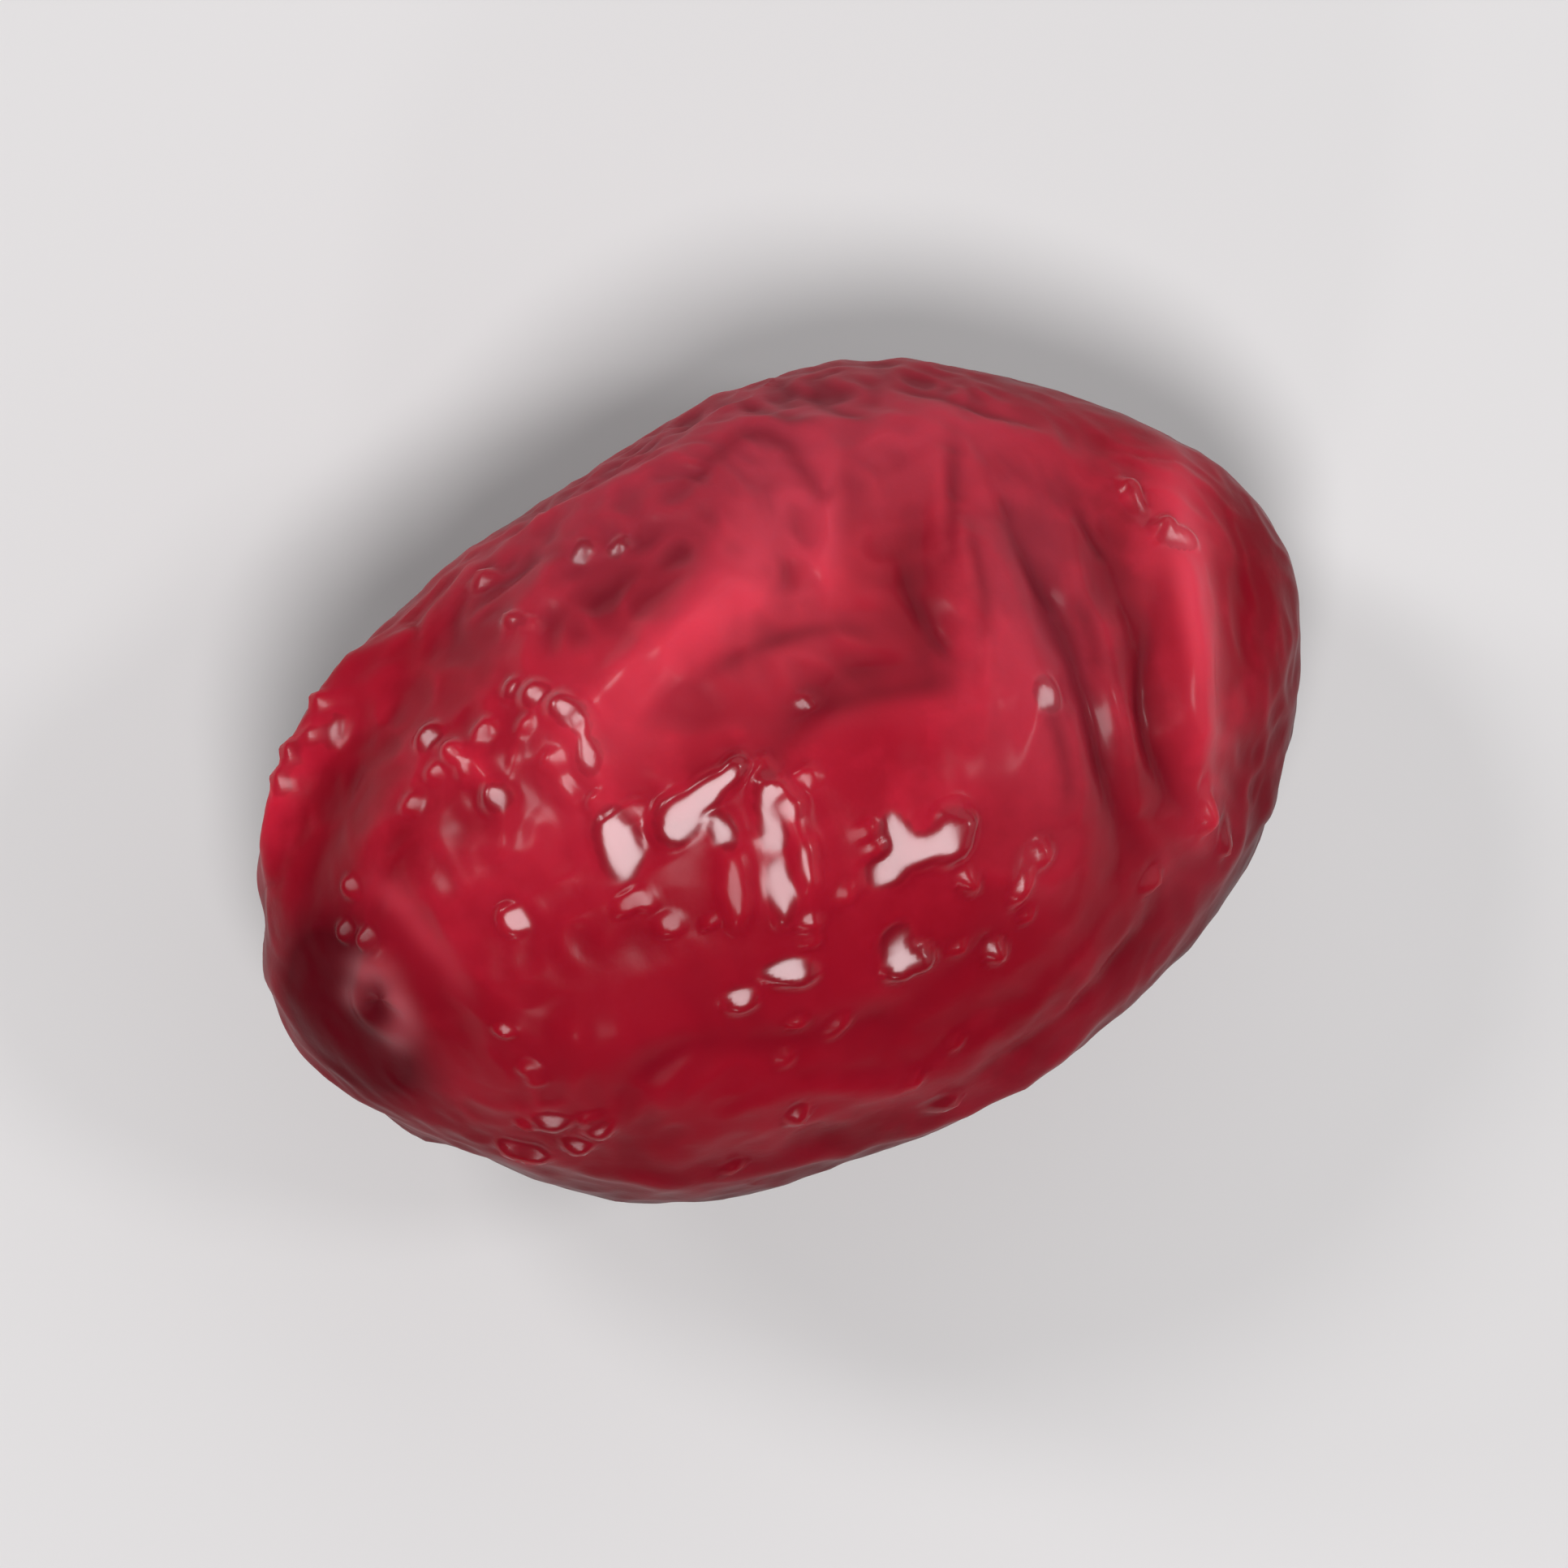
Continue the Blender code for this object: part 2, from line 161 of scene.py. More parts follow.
# %% [markdown]
# As the flesh dries the skin is drawn in flat over each softer stretch. A flat could be cut with a
# plane, but cuts leave hard edges. Instead each point takes a soft least of its own distance and each
# plane's: with a power of 11 the edges come out as rounded as the real ones.

# %% Flats
FLATS = [  # heading from +X towards +Y, height above level, both in degrees, and depth in mm
    (100, 8, 0.42),
    (124, 40, 0.25),
    (158, 10, 0.12),
    (50, 4, 0.30),
    (-135, 0, 0.35),
    (45, 52, 0.45),
    (8, 48, 0.42),
    (-52, 34, 0.25),
    (-100, 30, 0.16),
    (-146, 22, 0.30),
    (-35, -8, 0.35),
    (-88, -22, 0.42),
    (-150, -24, 0.40),
    (150, -34, 0.45),
    (92, -34, 0.50),
    (35, -20, 0.42),
    (10, -46, 0.25),
    (185, -50, 0.25),
]
FLAT_SHARPNESS = 11.0


def sunken(points):
    """The share kept of each point's distance: (1 + sum over flats of (reach / plane) ** p) ** (-1 / p)."""
    heading, rise, depth = np.array(FLATS, float).T
    heading, rise = np.radians(heading), np.radians(rise)
    facing = np.column_stack([np.cos(rise) * np.cos(heading), np.cos(rise) * np.sin(heading), np.sin(rise)])
    plane = np.linalg.norm((facing @ tilt_matrix) * BODY_HALF_SIZE, axis=1) - depth * MM
    over = np.maximum(points @ facing.T, 0) / plane
    return (1 + (over ** FLAT_SHARPNESS).sum(axis=1)) ** (-1 / FLAT_SHARPNESS)


flat_share = sunken(body)
print("the flats take off up to", round(float((1 - flat_share.min()) * 100), 1), "% of the radius")

# %% [markdown]
# The folds are what the eye knows this fruit by, so they aren't left to chance. Each is a line drawn on
# the fruit as seen from above, with a height and a width: a crest where the height is above 0, a valley
# where it is below. The line is smoothed, dropped on to the body, and every point of the skin is raised
# by how near it is to the line. The underside can't be seen, and has folds of the same kind.

# %% Folds
UPPER_FOLDS = [  # height and width in mm, then points along and across the fruit in mm, from above
    (0.32, 0.65, [(8.0, 1.9), (7.6, 0.6), (7.0, -1.0), (6.3, -2.3), (5.7, -3.8)]),
    (-0.17, 0.60, [(6.9, 1.6), (6.5, -0.1), (6.0, -1.2), (5.6, -2.1), (5.2, -3.3)]),
    (-0.08, 0.60, [(8.6, 0.6), (8.0, -1.0), (7.3, -2.2)]),
    (0.14, 0.50, [(6.2, 1.8), (5.8, 0.1), (5.4, -1.2), (4.9, -3.1)]),
    (-0.18, 0.48, [(5.6, 2.6), (5.3, 0.8), (5.0, -0.4), (4.6, -2.1), (4.3, -3.8)]),
    (0.17, 0.75, [(5.0, 4.0), (4.6, 2.2), (4.3, 0.6), (4.3, -0.9), (3.9, -2.6)]),
    (-0.17, 0.60, [(4.2, 4.0), (3.7, 2.3), (3.2, 1.2), (2.9, -0.2)]),
    (0.15, 0.60, [(3.2, 4.7), (2.7, 3.2), (2.2, 1.9)]),
    (-0.10, 0.45, [(2.1, 4.5), (1.6, 3.3), (1.5, 2.3)]),
    (0.14, 0.75, [(-1.8, 5.2), (0.6, 5.0), (2.4, 4.8), (4.0, 4.3), (5.4, 3.8), (6.6, 2.7), (7.5, 1.7)]),
    (-0.15, 0.45, [(-0.2, 0.2), (0.9, 0.9), (1.9, 1.0), (3.0, 0.5)]),
    (0.13, 0.75, [(-2.8, 2.3), (-0.9, 2.5), (0.4, 3.0), (1.1, 3.8), (1.8, 4.6)]),
    (-0.05, 0.60, [(-3.6, 4.1), (-1.6, 3.8), (0.0, 3.9), (1.2, 4.7)]),
    (0.10, 0.36, [(-3.2, 3.1), (-2.5, 2.6), (-2.3, 1.8), (-2.4, 0.9), (-2.6, 0.1)]),
    (0.11, 0.30, [(-4.7, 3.1), (-4.1, 2.4), (-3.9, 1.6), (-4.2, 0.8)]),
    (-0.12, 0.75, [(-5.3, 3.7), (-6.4, 3.0), (-7.1, 2.3), (-7.6, 1.3)]),
    (0.36, 0.60, [(-4.2, 4.9), (-5.3, 4.6), (-6.3, 4.0), (-7.3, 3.2), (-8.0, 2.2)]),
    (0.13, 0.36, [(-1.9, 0.2), (-1.2, 0.4), (-0.4, 0.5)]),
    (0.12, 0.28, [(-0.2, 0.1), (-0.1, -0.4), (-0.2, -1.2), (-0.5, -1.9)]),
    (0.10, 0.28, [(-1.0, -0.3), (-1.5, -1.5)]),
    (-0.12, 0.60, [(-5.0, -4.0), (-3.9, -3.1), (-2.9, -3.0), (-1.6, -3.6), (0.0, -3.9), (1.8, -3.6)]),
    (0.09, 0.50, [(-3.9, -4.6), (-2.4, -4.3), (-0.6, -4.9), (1.4, -4.9), (3.4, -4.5)]),
    (-0.10, 0.40, [(0.6, -5.4), (2.4, -5.2), (4.4, -4.6)]),
    (0.12, 0.45, [(1.4, -1.4), (2.2, -2.6), (3.4, -3.4)]),
    (0.12, 0.50, [(-5.8, 1.6), (-5.4, 0.3), (-5.5, -1.1), (-6.2, -2.2)]),
    (0.12, 0.45, [(-6.3, -3.7), (-3.4, -5.3), (0.2, -5.8), (3.4, -5.3)]),
]
LOWER_FOLDS = [
    (0.30, 0.55, [(-7.6, -1.6), (-5.2, -2.9), (-2.6, -3.6), (0.4, -4.1), (3.2, -4.0)]),
    (-0.28, 0.50, [(-6.0, -3.3), (-3.4, -4.6), (-0.6, -5.2)]),
    (0.28, 0.50, [(-7.2, 1.4), (-5.4, 2.8), (-3.0, 3.9), (-0.8, 4.0), (1.6, 4.4)]),
    (-0.26, 0.50, [(-5.2, 3.9), (-2.6, 4.9), (0.6, 5.1), (3.2, 4.6)]),
    (0.28, 0.45, [(3.4, 3.9), (5.0, 2.6), (6.1, 1.2), (6.4, -0.4)]),
    (-0.28, 0.45, [(4.6, -3.9), (5.6, -2.4), (6.0, -1.0), (7.2, 0.2)]),
    (0.26, 0.45, [(7.9, -2.0), (7.4, -0.9), (7.8, 0.7), (7.3, 2.3)]),
    (-0.24, 0.42, [(-5.6, 0.6), (-4.6, -0.9), (-4.8, -2.0)]),
    (0.24, 0.42, [(1.2, -5.0), (3.0, -4.6), (4.9, -3.8), (6.4, -2.6)]),
    (-0.28, 0.45, [(-5.4, -4.3), (-1.6, -5.6), (2.2, -5.6), (5.6, -4.2)]),
    (0.26, 0.42, [(-2.4, 5.5), (0.8, 5.8), (3.8, 5.2), (6.2, 3.9)]),
]
PATH_STEP = 0.04 * MM  # between samples of a line
FOLD_REACH = 4.5  # in widths: past it a fold is too low to see
FOLD_FADE = 0.25  # share of a line over which it rises from either end
FADE_POWER = 0.6
FOLD_END = 0.15  # share of the height that is left at the very end


def lifted(plan, side):
    """Plan points put on the body's upper (side 1) or lower (-1) face: the roots of its quadratic in Z."""
    form = tilt_matrix @ np.diag(BODY_HALF_SIZE ** -2.0) @ tilt_matrix.T
    x, y = np.asarray(plan, float).T * MM
    linear = 2 * (form[0, 2] * x + form[1, 2] * y)
    constant = form[0, 0] * x * x + form[1, 1] * y * y + 2 * form[0, 1] * x * y - 1.0
    inside = np.maximum(linear ** 2 - 4 * form[2, 2] * constant, 0.0)
    return np.column_stack([x, y, (-linear + side * np.sqrt(inside)) / (2 * form[2, 2])])


def smooth_path(points):
    """A Catmull-Rom curve through the points: half of 2b + (c - a)t + bend t squared + twist t cubed."""
    length = np.linalg.norm(np.diff(points, axis=0), axis=1).sum()
    ends = np.vstack([2 * points[0] - points[1], points, 2 * points[-1] - points[-2]])
    place = np.linspace(0, len(points) - 1, int(length / PATH_STEP))
    first = np.minimum(place.astype(int), len(points) - 2)
    t = (place - first)[:, None]
    a, b, c, d = [ends[first + step] for step in range(4)]
    bend = 2 * a - 5 * b + 4 * c - d
    twist = 3 * b - a - 3 * c + d
    return 0.5 * (2 * b + (c - a) * t + bend * t ** 2 + twist * t ** 3)


def near_path(points, path, reach):
    """For the points within reach of a path: which they are, how far off it, and their share along it."""
    low, high = path.min(axis=0) - reach, path.max(axis=0) + reach
    chosen = np.flatnonzero(((points > low) & (points < high)).all(axis=1))
    gap = points[chosen, None, :] - path[None]
    square = (gap ** 2).sum(axis=2)
    nearest = square.argmin(axis=1)
    return chosen, np.sqrt(square.min(axis=1)), nearest / (len(path) - 1)


def fold_heights(points):
    """The sum over folds of height * exp(1 - sqrt(1 + 4 (distance / width) ** 2)), faded at the ends."""
    total = np.zeros(len(points))
    for side, folds in ((1, UPPER_FOLDS), (-1, LOWER_FOLDS)):
        for height, width, plan in folds:
            path = smooth_path(lifted(plan, side))
            chosen, away, along = near_path(points, path, FOLD_REACH * width * MM)
            fade = np.minimum(np.minimum(along, 1 - along) / FOLD_FADE, 1) ** FADE_POWER
            crest = np.exp(1 - np.sqrt(1 + 4 * (away / (width * MM)) ** 2))
            total[chosen] += height * MM * crest * (FOLD_END + (1 - FOLD_END) * fade)
    return total


def span(heights):
    """The least and the most height, in mm."""
    return np.round([heights.min() / MM, heights.max() / MM], 3)


folds = fold_heights(body)
print("folds run from", span(folds), "mm")

# %% [markdown]
# Between the folds the skin is uneven on three scales: slow lumps, creases about 2.5 mm apart that run
# along the fruit, and crinkles half as far apart. The cheek that faces up is the tightest skin and stays
# nearly smooth, and so does the skin that the fruit rests on. Shifting the points by slow noise before
# the creases are worked out makes them wander instead of lying in a lattice.

# %% Creases
LUMP_SPACING = 5.2 * MM
LUMP_HEIGHT = 0.16 * MM
CREASE_SPACING = 2.5 * MM
CREASE_HEIGHT = 0.14 * MM
CREASE_STRETCH = np.array([0.62, 1.0, 1.0])  # a share below 1 draws them out along the fruit
CRINKLE_SPACING = 1.25 * MM
CRINKLE_HEIGHT = 0.07 * MM
PATCH_SPACING = 5.5 * MM
WARP_SPACING = 3.4 * MM
WARP_REACH = 0.9 * MM
SMOOTH_CHEEK = np.array([1.2, -2.4, 4.8]) * MM
SMOOTH_REACH = 4.2 * MM
SMOOTH_CORE = 0.35  # share of that reach within which the skin is smoothest
SMOOTH_SHARE = 0.22  # of the roughness is left there
PRESSED_REACH = 1.6 * MM
PRESSED_SHARE = 0.2
CREASE_MEAN = 0.35
CRINKLE_MEAN = 0.4

shift = [smooth_noise(body / WARP_SPACING, NOISE_SEED + axis) for axis in range(3)]
wandering = body + WARP_REACH * np.column_stack(shift)
cheek_distance = np.linalg.norm(body - SMOOTH_CHEEK, axis=1) / SMOOTH_REACH
roughness_share = SMOOTH_SHARE + (1 - SMOOTH_SHARE) * np.clip(cheek_distance - SMOOTH_CORE, 0, 1) ** 1.2
roughness_share *= np.clip((body[:, 2] + BODY_HALF_SIZE[2]) / PRESSED_REACH, PRESSED_SHARE, 1)


def skin_heights():
    """Lump noise + share * patches * (crease ridges + crinkle ridges), the ridges less their means."""
    lumps = smooth_noise(body / LUMP_SPACING, NOISE_SEED + 10)
    creases = ridges(wandering * CREASE_STRETCH / CREASE_SPACING, NOISE_SEED + 11) - CREASE_MEAN
    crinkles = ridges(wandering / CRINKLE_SPACING, NOISE_SEED + 12) - CRINKLE_MEAN
    patches = np.clip(0.85 + 1.5 * smooth_noise(body / PATCH_SPACING, NOISE_SEED + 13), 0.3, 1.4)
    wrinkles = CREASE_HEIGHT * creases + CRINKLE_HEIGHT * crinkles
    return LUMP_HEIGHT * lumps + roughness_share * patches * wrinkles


creases = skin_heights()
print("creases run from", span(creases), "mm")

# %% [markdown]
# The flower leaves a round scar at the end of the fruit: a shallow dish, a raised ring in it, and the
# stump of the style in the middle. Each depends only on the distance from the scar's middle. A real one
# is never quite round, so the dish's edge and the ring swell and shrink with the angle round it.

# %% Scar
DISH_RADIUS = 1.95 * MM
DISH_DEPTH = 0.20 * MM
DISH_WAVES = [(0.12, 2, 1.9)]  # share, number of waves round the scar, and their start in radians
SCAR_RING_RADIUS = 0.47 * MM
SCAR_RING_WIDTH = 0.27 * MM
SCAR_RING_HEIGHT = 0.12 * MM
RING_WAVES = [(0.17, 2, 0.6), (0.09, 3, 0.0)]
RING_RISE_WAVES = [(0.35, 1, 2.2), (0.18, 4, 0.0)]
STUMP_RADIUS = 0.26 * MM
STUMP_HEIGHT = 0.02 * MM
SCAR_CALM = 0.85  # share of the folds and creases that the scar's stiff skin keeps away
CALM_RADIUS = 1.1 * DISH_RADIUS

scar_offset = body - scar_place
scar_distance = np.linalg.norm(scar_offset, axis=1)
scar_top = np.array([np.sin(scar_rise), 0.0, np.cos(scar_rise)])
scar_angle = np.arctan2(scar_offset @ scar_top, scar_offset[:, 1])


def uneven(waves):
    """1, plus share * sin(number * angle round the scar + start) for each wave."""
    total = np.ones(len(body))
    for share, number, start in waves:
        total += share * np.sin(number * scar_angle + start)
    return total


dish_share = np.exp(-((scar_distance / (DISH_RADIUS * uneven(DISH_WAVES))) ** 4))
ring_distance = scar_distance - SCAR_RING_RADIUS * uneven(RING_WAVES)
ring_share = np.exp(-((ring_distance / SCAR_RING_WIDTH) ** 2))
scar = -DISH_DEPTH * dish_share + SCAR_RING_HEIGHT * uneven(RING_RISE_WAVES) * ring_share
scar += STUMP_HEIGHT * np.exp(-((scar_distance / STUMP_RADIUS) ** 2))
calm = 1 - SCAR_CALM * np.exp(-((scar_distance / CALM_RADIUS) ** 4))
print("the scar runs from", span(scar), "mm")

# %% [markdown]
# The stalk leaves a pit at the other end, with a slight rim. It could be cut out with a boolean, but
# that leaves a sharp edge, so it is one more height: deepest at the pole, and easing out from there.

# %% Pit
PIT_RADIUS = 1.25 * MM
PIT_DEPTH = 0.85 * MM
PIT_SPREAD = 0.6  # in radii, where it is half as deep
PIT_RIM_PLACE = 1.3  # in radii
PIT_RIM_SPREAD = 0.1
PIT_RIM_HEIGHT = 0.1 * MM

pit_distance = np.linalg.norm(body - pit_place, axis=1) / PIT_RADIUS
pit_share = 1 / (1 + (pit_distance / PIT_SPREAD) ** 2)
pit_rim = np.exp(-((pit_distance - PIT_RIM_PLACE) ** 2) / PIT_RIM_SPREAD)
pit = -PIT_DEPTH * pit_share + PIT_RIM_HEIGHT * pit_rim
print("the pit runs from", span(pit), "mm")

# %% [markdown]
# The finest relief is in the thin skin itself, and is too small for the solid. Fine wrinkles cover the
# far side's rim, shallow dimples lie everywhere, and streaks run up the picture over the stalk's half. A
# bump in the material could fake them, but real relief also shows from the side. All three are noise
# again, stretched the way that each of them runs.

# %% Fine skin
FINE_SPACING = 0.62 * MM
FINE_HEIGHT = 0.026 * MM
FINE_STRETCH = np.array([1.0, 0.62, 1.0])
DIMPLE_SPACING = 1.1 * MM
DIMPLE_HEIGHT = 0.030 * MM
STREAK_SPACING = 0.85 * MM
STREAK_HEIGHT = 0.075 * MM
STREAK_STRETCH = 0.22  # along the streaks, which run up the picture
STREAK_PLACE = np.array([4.4, 1.6]) * MM
STREAK_REACH = np.array([3.6, 4.0]) * MM
FAR_WAY = np.array([0.10, 0.80, 0.45])  # towards the rim that is at the picture's top
FAR_START = 4.4  # in mm that way, from the fruit's middle
SCAR_BARE = 0.8  # share of the fine relief that the dish lacks

far_side = np.clip(body @ FAR_WAY / MM - FAR_START, 0, 1)
outside_dish = 1 - SCAR_BARE * dish_share
fine = ridges(wandering * FINE_STRETCH / FINE_SPACING, NOISE_SEED + 20, spread=0.3, rounding=0.2) - 0.4
fine *= (0.35 + 0.65 * roughness_share + 2.2 * far_side) * outside_dish
dimples = smooth_noise(wandering / DIMPLE_SPACING, NOISE_SEED + 21)
up_picture = STREAK_STRETCH * (wandering @ picture_up)
streak_places = np.column_stack([wandering @ picture_right, up_picture, 0.5 * wandering[:, 2]])
streaks = ridges(streak_places / STREAK_SPACING, NOISE_SEED + 22, spread=0.4, rounding=0.3) - 0.35
streak_offset = ((body[:, :2] - STREAK_PLACE) / STREAK_REACH) ** 2
streaks *= np.exp(-(streak_offset.sum(axis=1) ** 1.5)) * (body[:, 2] > 0)
film = FINE_HEIGHT * fine + DIMPLE_HEIGHT * outside_dish * dimples + STREAK_HEIGHT * streaks
print("the fine skin runs from", span(film), "mm")

# %% [markdown]
# In a few places the skin has folded over on itself and left a line as sharp as a crease in paper. These
# lines are drawn from above like the folds, but narrow, and the skin is darkened along them as painted
# shade. The mesh could be cut along them, but as heights they fade out at both ends, as the real ones do.

# %% Sharp creases
SHARP_CREASES = [  # depth and width in mm, then points along and across the fruit in mm, from above
    (0.06, 0.17, [(5.11, 3.93), (4.70, 2.95), (3.91, 1.73)]),
    (0.08, 0.20, [(5.36, 2.75), (5.41, 1.65), (5.35, 0.33), (5.08, -0.61), (4.75, -1.65), (4.59, -2.65),
                  (4.61, -3.8)]),
    (0.08, 0.20, [(7.26, 0.45), (6.48, -0.64), (5.83, -1.39), (5.56, -2.06), (5.56, -2.87), (5.55, -3.74)]),
    (0.05, 0.14, [(6.50, 2.33), (6.59, 1.32), (6.67, 0.81)]),
    (0.05, 0.18, [(3.48, 2.62), (3.26, 1.79), (3.26, 0.98), (3.31, 0.28)]),
    (0.03, 0.20, [(3.29, 0.23), (2.48, 0.37), (1.42, 0.67), (0.41, 0.67)]),
    (0.02, 0.16, [(2.46, 1.39), (1.49, 1.88), (0.47, 1.99), (-0.66, 1.89)]),
    (0.035, 0.18, [(0.24, 4.73), (1.02, 4.67), (1.93, 4.88), (2.39, 4.59), (2.62, 3.70), (3.19, 3.91)]),
    (0.05, 0.16, [(4.77, 2.78), (4.34, 1.38), (3.80, 0.44)]),
    (0.04, 0.16, [(2.48, 5.96), (3.28, 4.88), (3.96, 4.37)]),
    (0.04, 0.16, [(4.35, 4.87), (5.52, 3.99), (6.48, 3.23)]),
    (0.04, 0.16, [(1.40, 5.96), (2.34, 5.15), (3.17, 4.40)]),
    (0.05, 0.18, [(5.73, 0.68), (5.57, -0.18), (5.13, -0.90)]),
    (0.04, 0.16, [(4.22, -0.44), (4.06, -1.57), (3.68, -2.46)]),
]
CREASE_REACH = 3  # in widths


def sharp_creases(points):
    """The sum of depth * share, and the most of share: exp(-(distance / width) ** 2), faded at the ends."""
    heights, shares = np.zeros(len(points)), np.zeros(len(points))
    for depth, width, plan in SHARP_CREASES:
        chosen, away, along = near_path(points, smooth_path(lifted(plan, 1)), CREASE_REACH * width * MM)
        fade = np.minimum(np.minimum(along, 1 - along) / FOLD_FADE, 1)
        share = fade * np.exp(-((away / (width * MM)) ** 2))
        heights[chosen] -= depth * MM * share
        shares[chosen] = np.maximum(shares[chosen], share)
    return heights, shares


crease_heights, crease_shade_shares = sharp_creases(body)
film += crease_heights
print(len(SHARP_CREASES), "sharp creases run from", span(crease_heights), "mm")

# %% [markdown]
# The syrup has dried in beads and short smears, and each of them mirrors a lamp. They were read off the
# real fruit one by one, each as one or more ovals with a share of shine. Some small weak ones are strewn
# over the stretch where it has too many to tell apart. A particle system could strew them all, but then
# none of them would lie where the eye expects it.

# %% Beads
BEADS = [  # shine, then ovals: along and across the fruit, half-length, half-width, in mm, turn in degrees
    (0.80, [(-2.89, 2.98, 0.17, 0.16, -27)]),
    (0.90, [(-2.62, 2.78, 0.27, 0.18, -39)]),
    (1.00, [(-2.29, 2.42, 0.33, 0.22, -62)]),
    (0.80, [(-2.24, 2.05, 0.20, 0.16, 88)]),
    (0.90, [(-2.31, 1.63, 0.31, 0.19, 78)]),
    (0.90, [(-4.34, 2.96, 0.24, 0.22, -27)]),
    (0.60, [(-4.15, 2.60, 0.18, 0.14, -67), (-4.04, 2.27, 0.21, 0.13, -77)]),
    (0.90, [(-3.81, 1.73, 0.26, 0.22, -47)]),
    (1.00, [(-2.51, 0.28, 0.57, 0.35, 75), (-2.56, 0.47, 0.33, 0.23, 83)]),
    (0.50, [(-2.00, 0.59, 0.19, 0.17, -27)]),
    (1.00, [(-1.52, 0.21, 0.44, 0.31, 11), (-1.06, 0.32, 0.49, 0.22, 15), (-0.60, 0.45, 0.33, 0.17, 28),
            (-1.74, 0.11, 0.26, 0.26, -27), (-1.08, -0.22, 0.33, 0.18, -89)]),
    (0.90, [(-0.35, -0.25, 0.59, 0.21, 67), (-0.40, -0.62, 0.23, 0.21, -27)]),
    (0.80, [(-0.03, -0.24, 0.41, 0.17, -79)]),
    (0.70, [(-0.22, -1.25, 0.36, 0.15, 69)]),
    (0.90, [(-0.75, -1.43, 0.51, 0.19, 71)]),
    (0.25, [(-1.34, -1.13, 0.57, 0.18, 68)]),
    (0.50, [(-0.51, -2.00, 0.19, 0.15, -67)]),
    (1.00, [(-1.15, -2.55, 0.42, 0.23, -31)]),
    (0.80, [(-1.98, -2.55, 0.23, 0.21, -27)]),
    (1.00, [(0.84, -1.82, 0.33, 0.26, 3), (1.21, -1.38, 0.31, 0.24, -77),
            (1.35, -1.81, 0.57, 0.27, -19), (1.83, -1.80, 0.44, 0.33, 33), (2.10, -1.77, 0.21, 0.18, 33)]),
    (0.40, [(1.76, -2.39, 0.31, 0.12, -87)]),
    (1.00, [(0.50, -2.84, 0.33, 0.22, 43), (0.61, -3.18, 0.33, 0.23, -47), (0.30, -3.17, 0.23, 0.21, -27)]),
    (0.35, [(-3.52, 2.63, 0.21, 0.17, 3)]),
    (0.30, [(-2.89, 2.46, 0.18, 0.14, -7)]),
    (0.35, [(-4.46, 2.40, 0.18, 0.15, -27)]),
    (0.30, [(-4.95, 2.18, 0.19, 0.17, -27)]),
    (0.40, [(-2.78, 1.78, 0.17, 0.15, -27)]),
    (0.50, [(-2.81, 1.36, 0.28, 0.14, -87)]),
    (0.40, [(-2.46, 0.93, 0.19, 0.15, -27)]),
    (0.35, [(-2.56, -0.61, 0.21, 0.14, -57)]),
    (0.30, [(-2.36, -1.11, 0.19, 0.17, -27)]),
    (0.60, [(-4.37, -0.02, 0.23, 0.19, -47)]),
    (0.35, [(-0.11, 0.32, 0.18, 0.15, -27)]),
    (0.35, [(0.36, -0.10, 0.18, 0.15, -27)]),
    (0.90, [(-1.05, 4.32, 0.20, 0.15, 13)]),
    (0.90, [(-0.56, 4.17, 0.19, 0.14, 13)]),
    (0.60, [(-2.59, 4.68, 0.20, 0.17, -27)]),
    (0.80, [(-2.38, 3.87, 0.24, 0.13, -42)]),
    (0.40, [(-2.22, 3.68, 0.15, 0.13, -27)]),
    (0.90, [(-6.62, 3.32, 0.22, 0.18, -87)]),
    (0.90, [(-6.32, 3.64, 0.22, 0.18, 83)]),
    (0.80, [(-5.90, 3.73, 0.20, 0.15, -22)]),
    (0.90, [(-5.53, 3.63, 0.28, 0.16, 53)]),
    (0.60, [(-5.58, 4.13, 0.18, 0.14, -72)]),
    (0.25, [(-6.35, 1.47, 0.18, 0.15, -27)]),
    (0.25, [(-6.71, 0.94, 0.17, 0.14, -27)]),
    (0.30, [(-6.45, 0.73, 0.17, 0.15, -27)]),
    (0.90, [(6.89, 0.63, 0.33, 0.18, -27), (6.77, 0.81, 0.18, 0.14, -67)]),
    (0.70, [(6.59, 1.32, 0.40, 0.11, -89)]),
    (1.00, [(4.09, -0.62, 0.27, 0.20, 88)]),
    (0.90, [(5.57, -3.63, 0.33, 0.12, -79)]),
    (0.40, [(5.49, -3.10, 0.46, 0.09, -85)]),
    (0.50, [(2.88, -2.60, 0.27, 0.21, -17)]),
    (0.60, [(2.53, -2.90, 0.36, 0.14, 67)]),
    (0.60, [(1.68, -3.55, 0.24, 0.14, -72)]),
    (0.40, [(4.21, -3.69, 0.18, 0.17, -27)]),
    (0.25, [(0.87, 0.91, 0.15, 0.14, -27)]),
    (0.90, [(-5.28, -2.95, 0.28, 0.22, -17)]),
    (0.80, [(-5.98, -3.02, 0.22, 0.20, -27)]),
    (0.80, [(-5.70, -3.26, 0.22, 0.18, -47)]),
    (0.80, [(-4.70, -3.36, 0.20, 0.20, -27)]),
    (0.80, [(-5.12, -3.46, 0.20, 0.18, -27)]),
    (0.70, [(-1.97, -4.46, 0.26, 0.14, 68)]),
    (0.80, [(-0.05, -5.30, 0.26, 0.16, -17)]),
    (0.40, [(0.50, -4.54, 0.13, 0.11, -27)]),
    (0.40, [(-3.25, -4.76, 0.13, 0.11, -27)]),
    (0.40, [(-0.26, -4.79, 0.13, 0.11, -27)]),
]
STRAY_BEADS = 18
STRAY_BOX = np.array([[-6.0, -4.4], [2.4, -0.3]]) * MM  # strewn only between these two corners
STRAY_RADIUS = (0.10, 0.17)  # in mm
STRAY_ROUNDNESS = 0.85  # half-width as a share of half-length
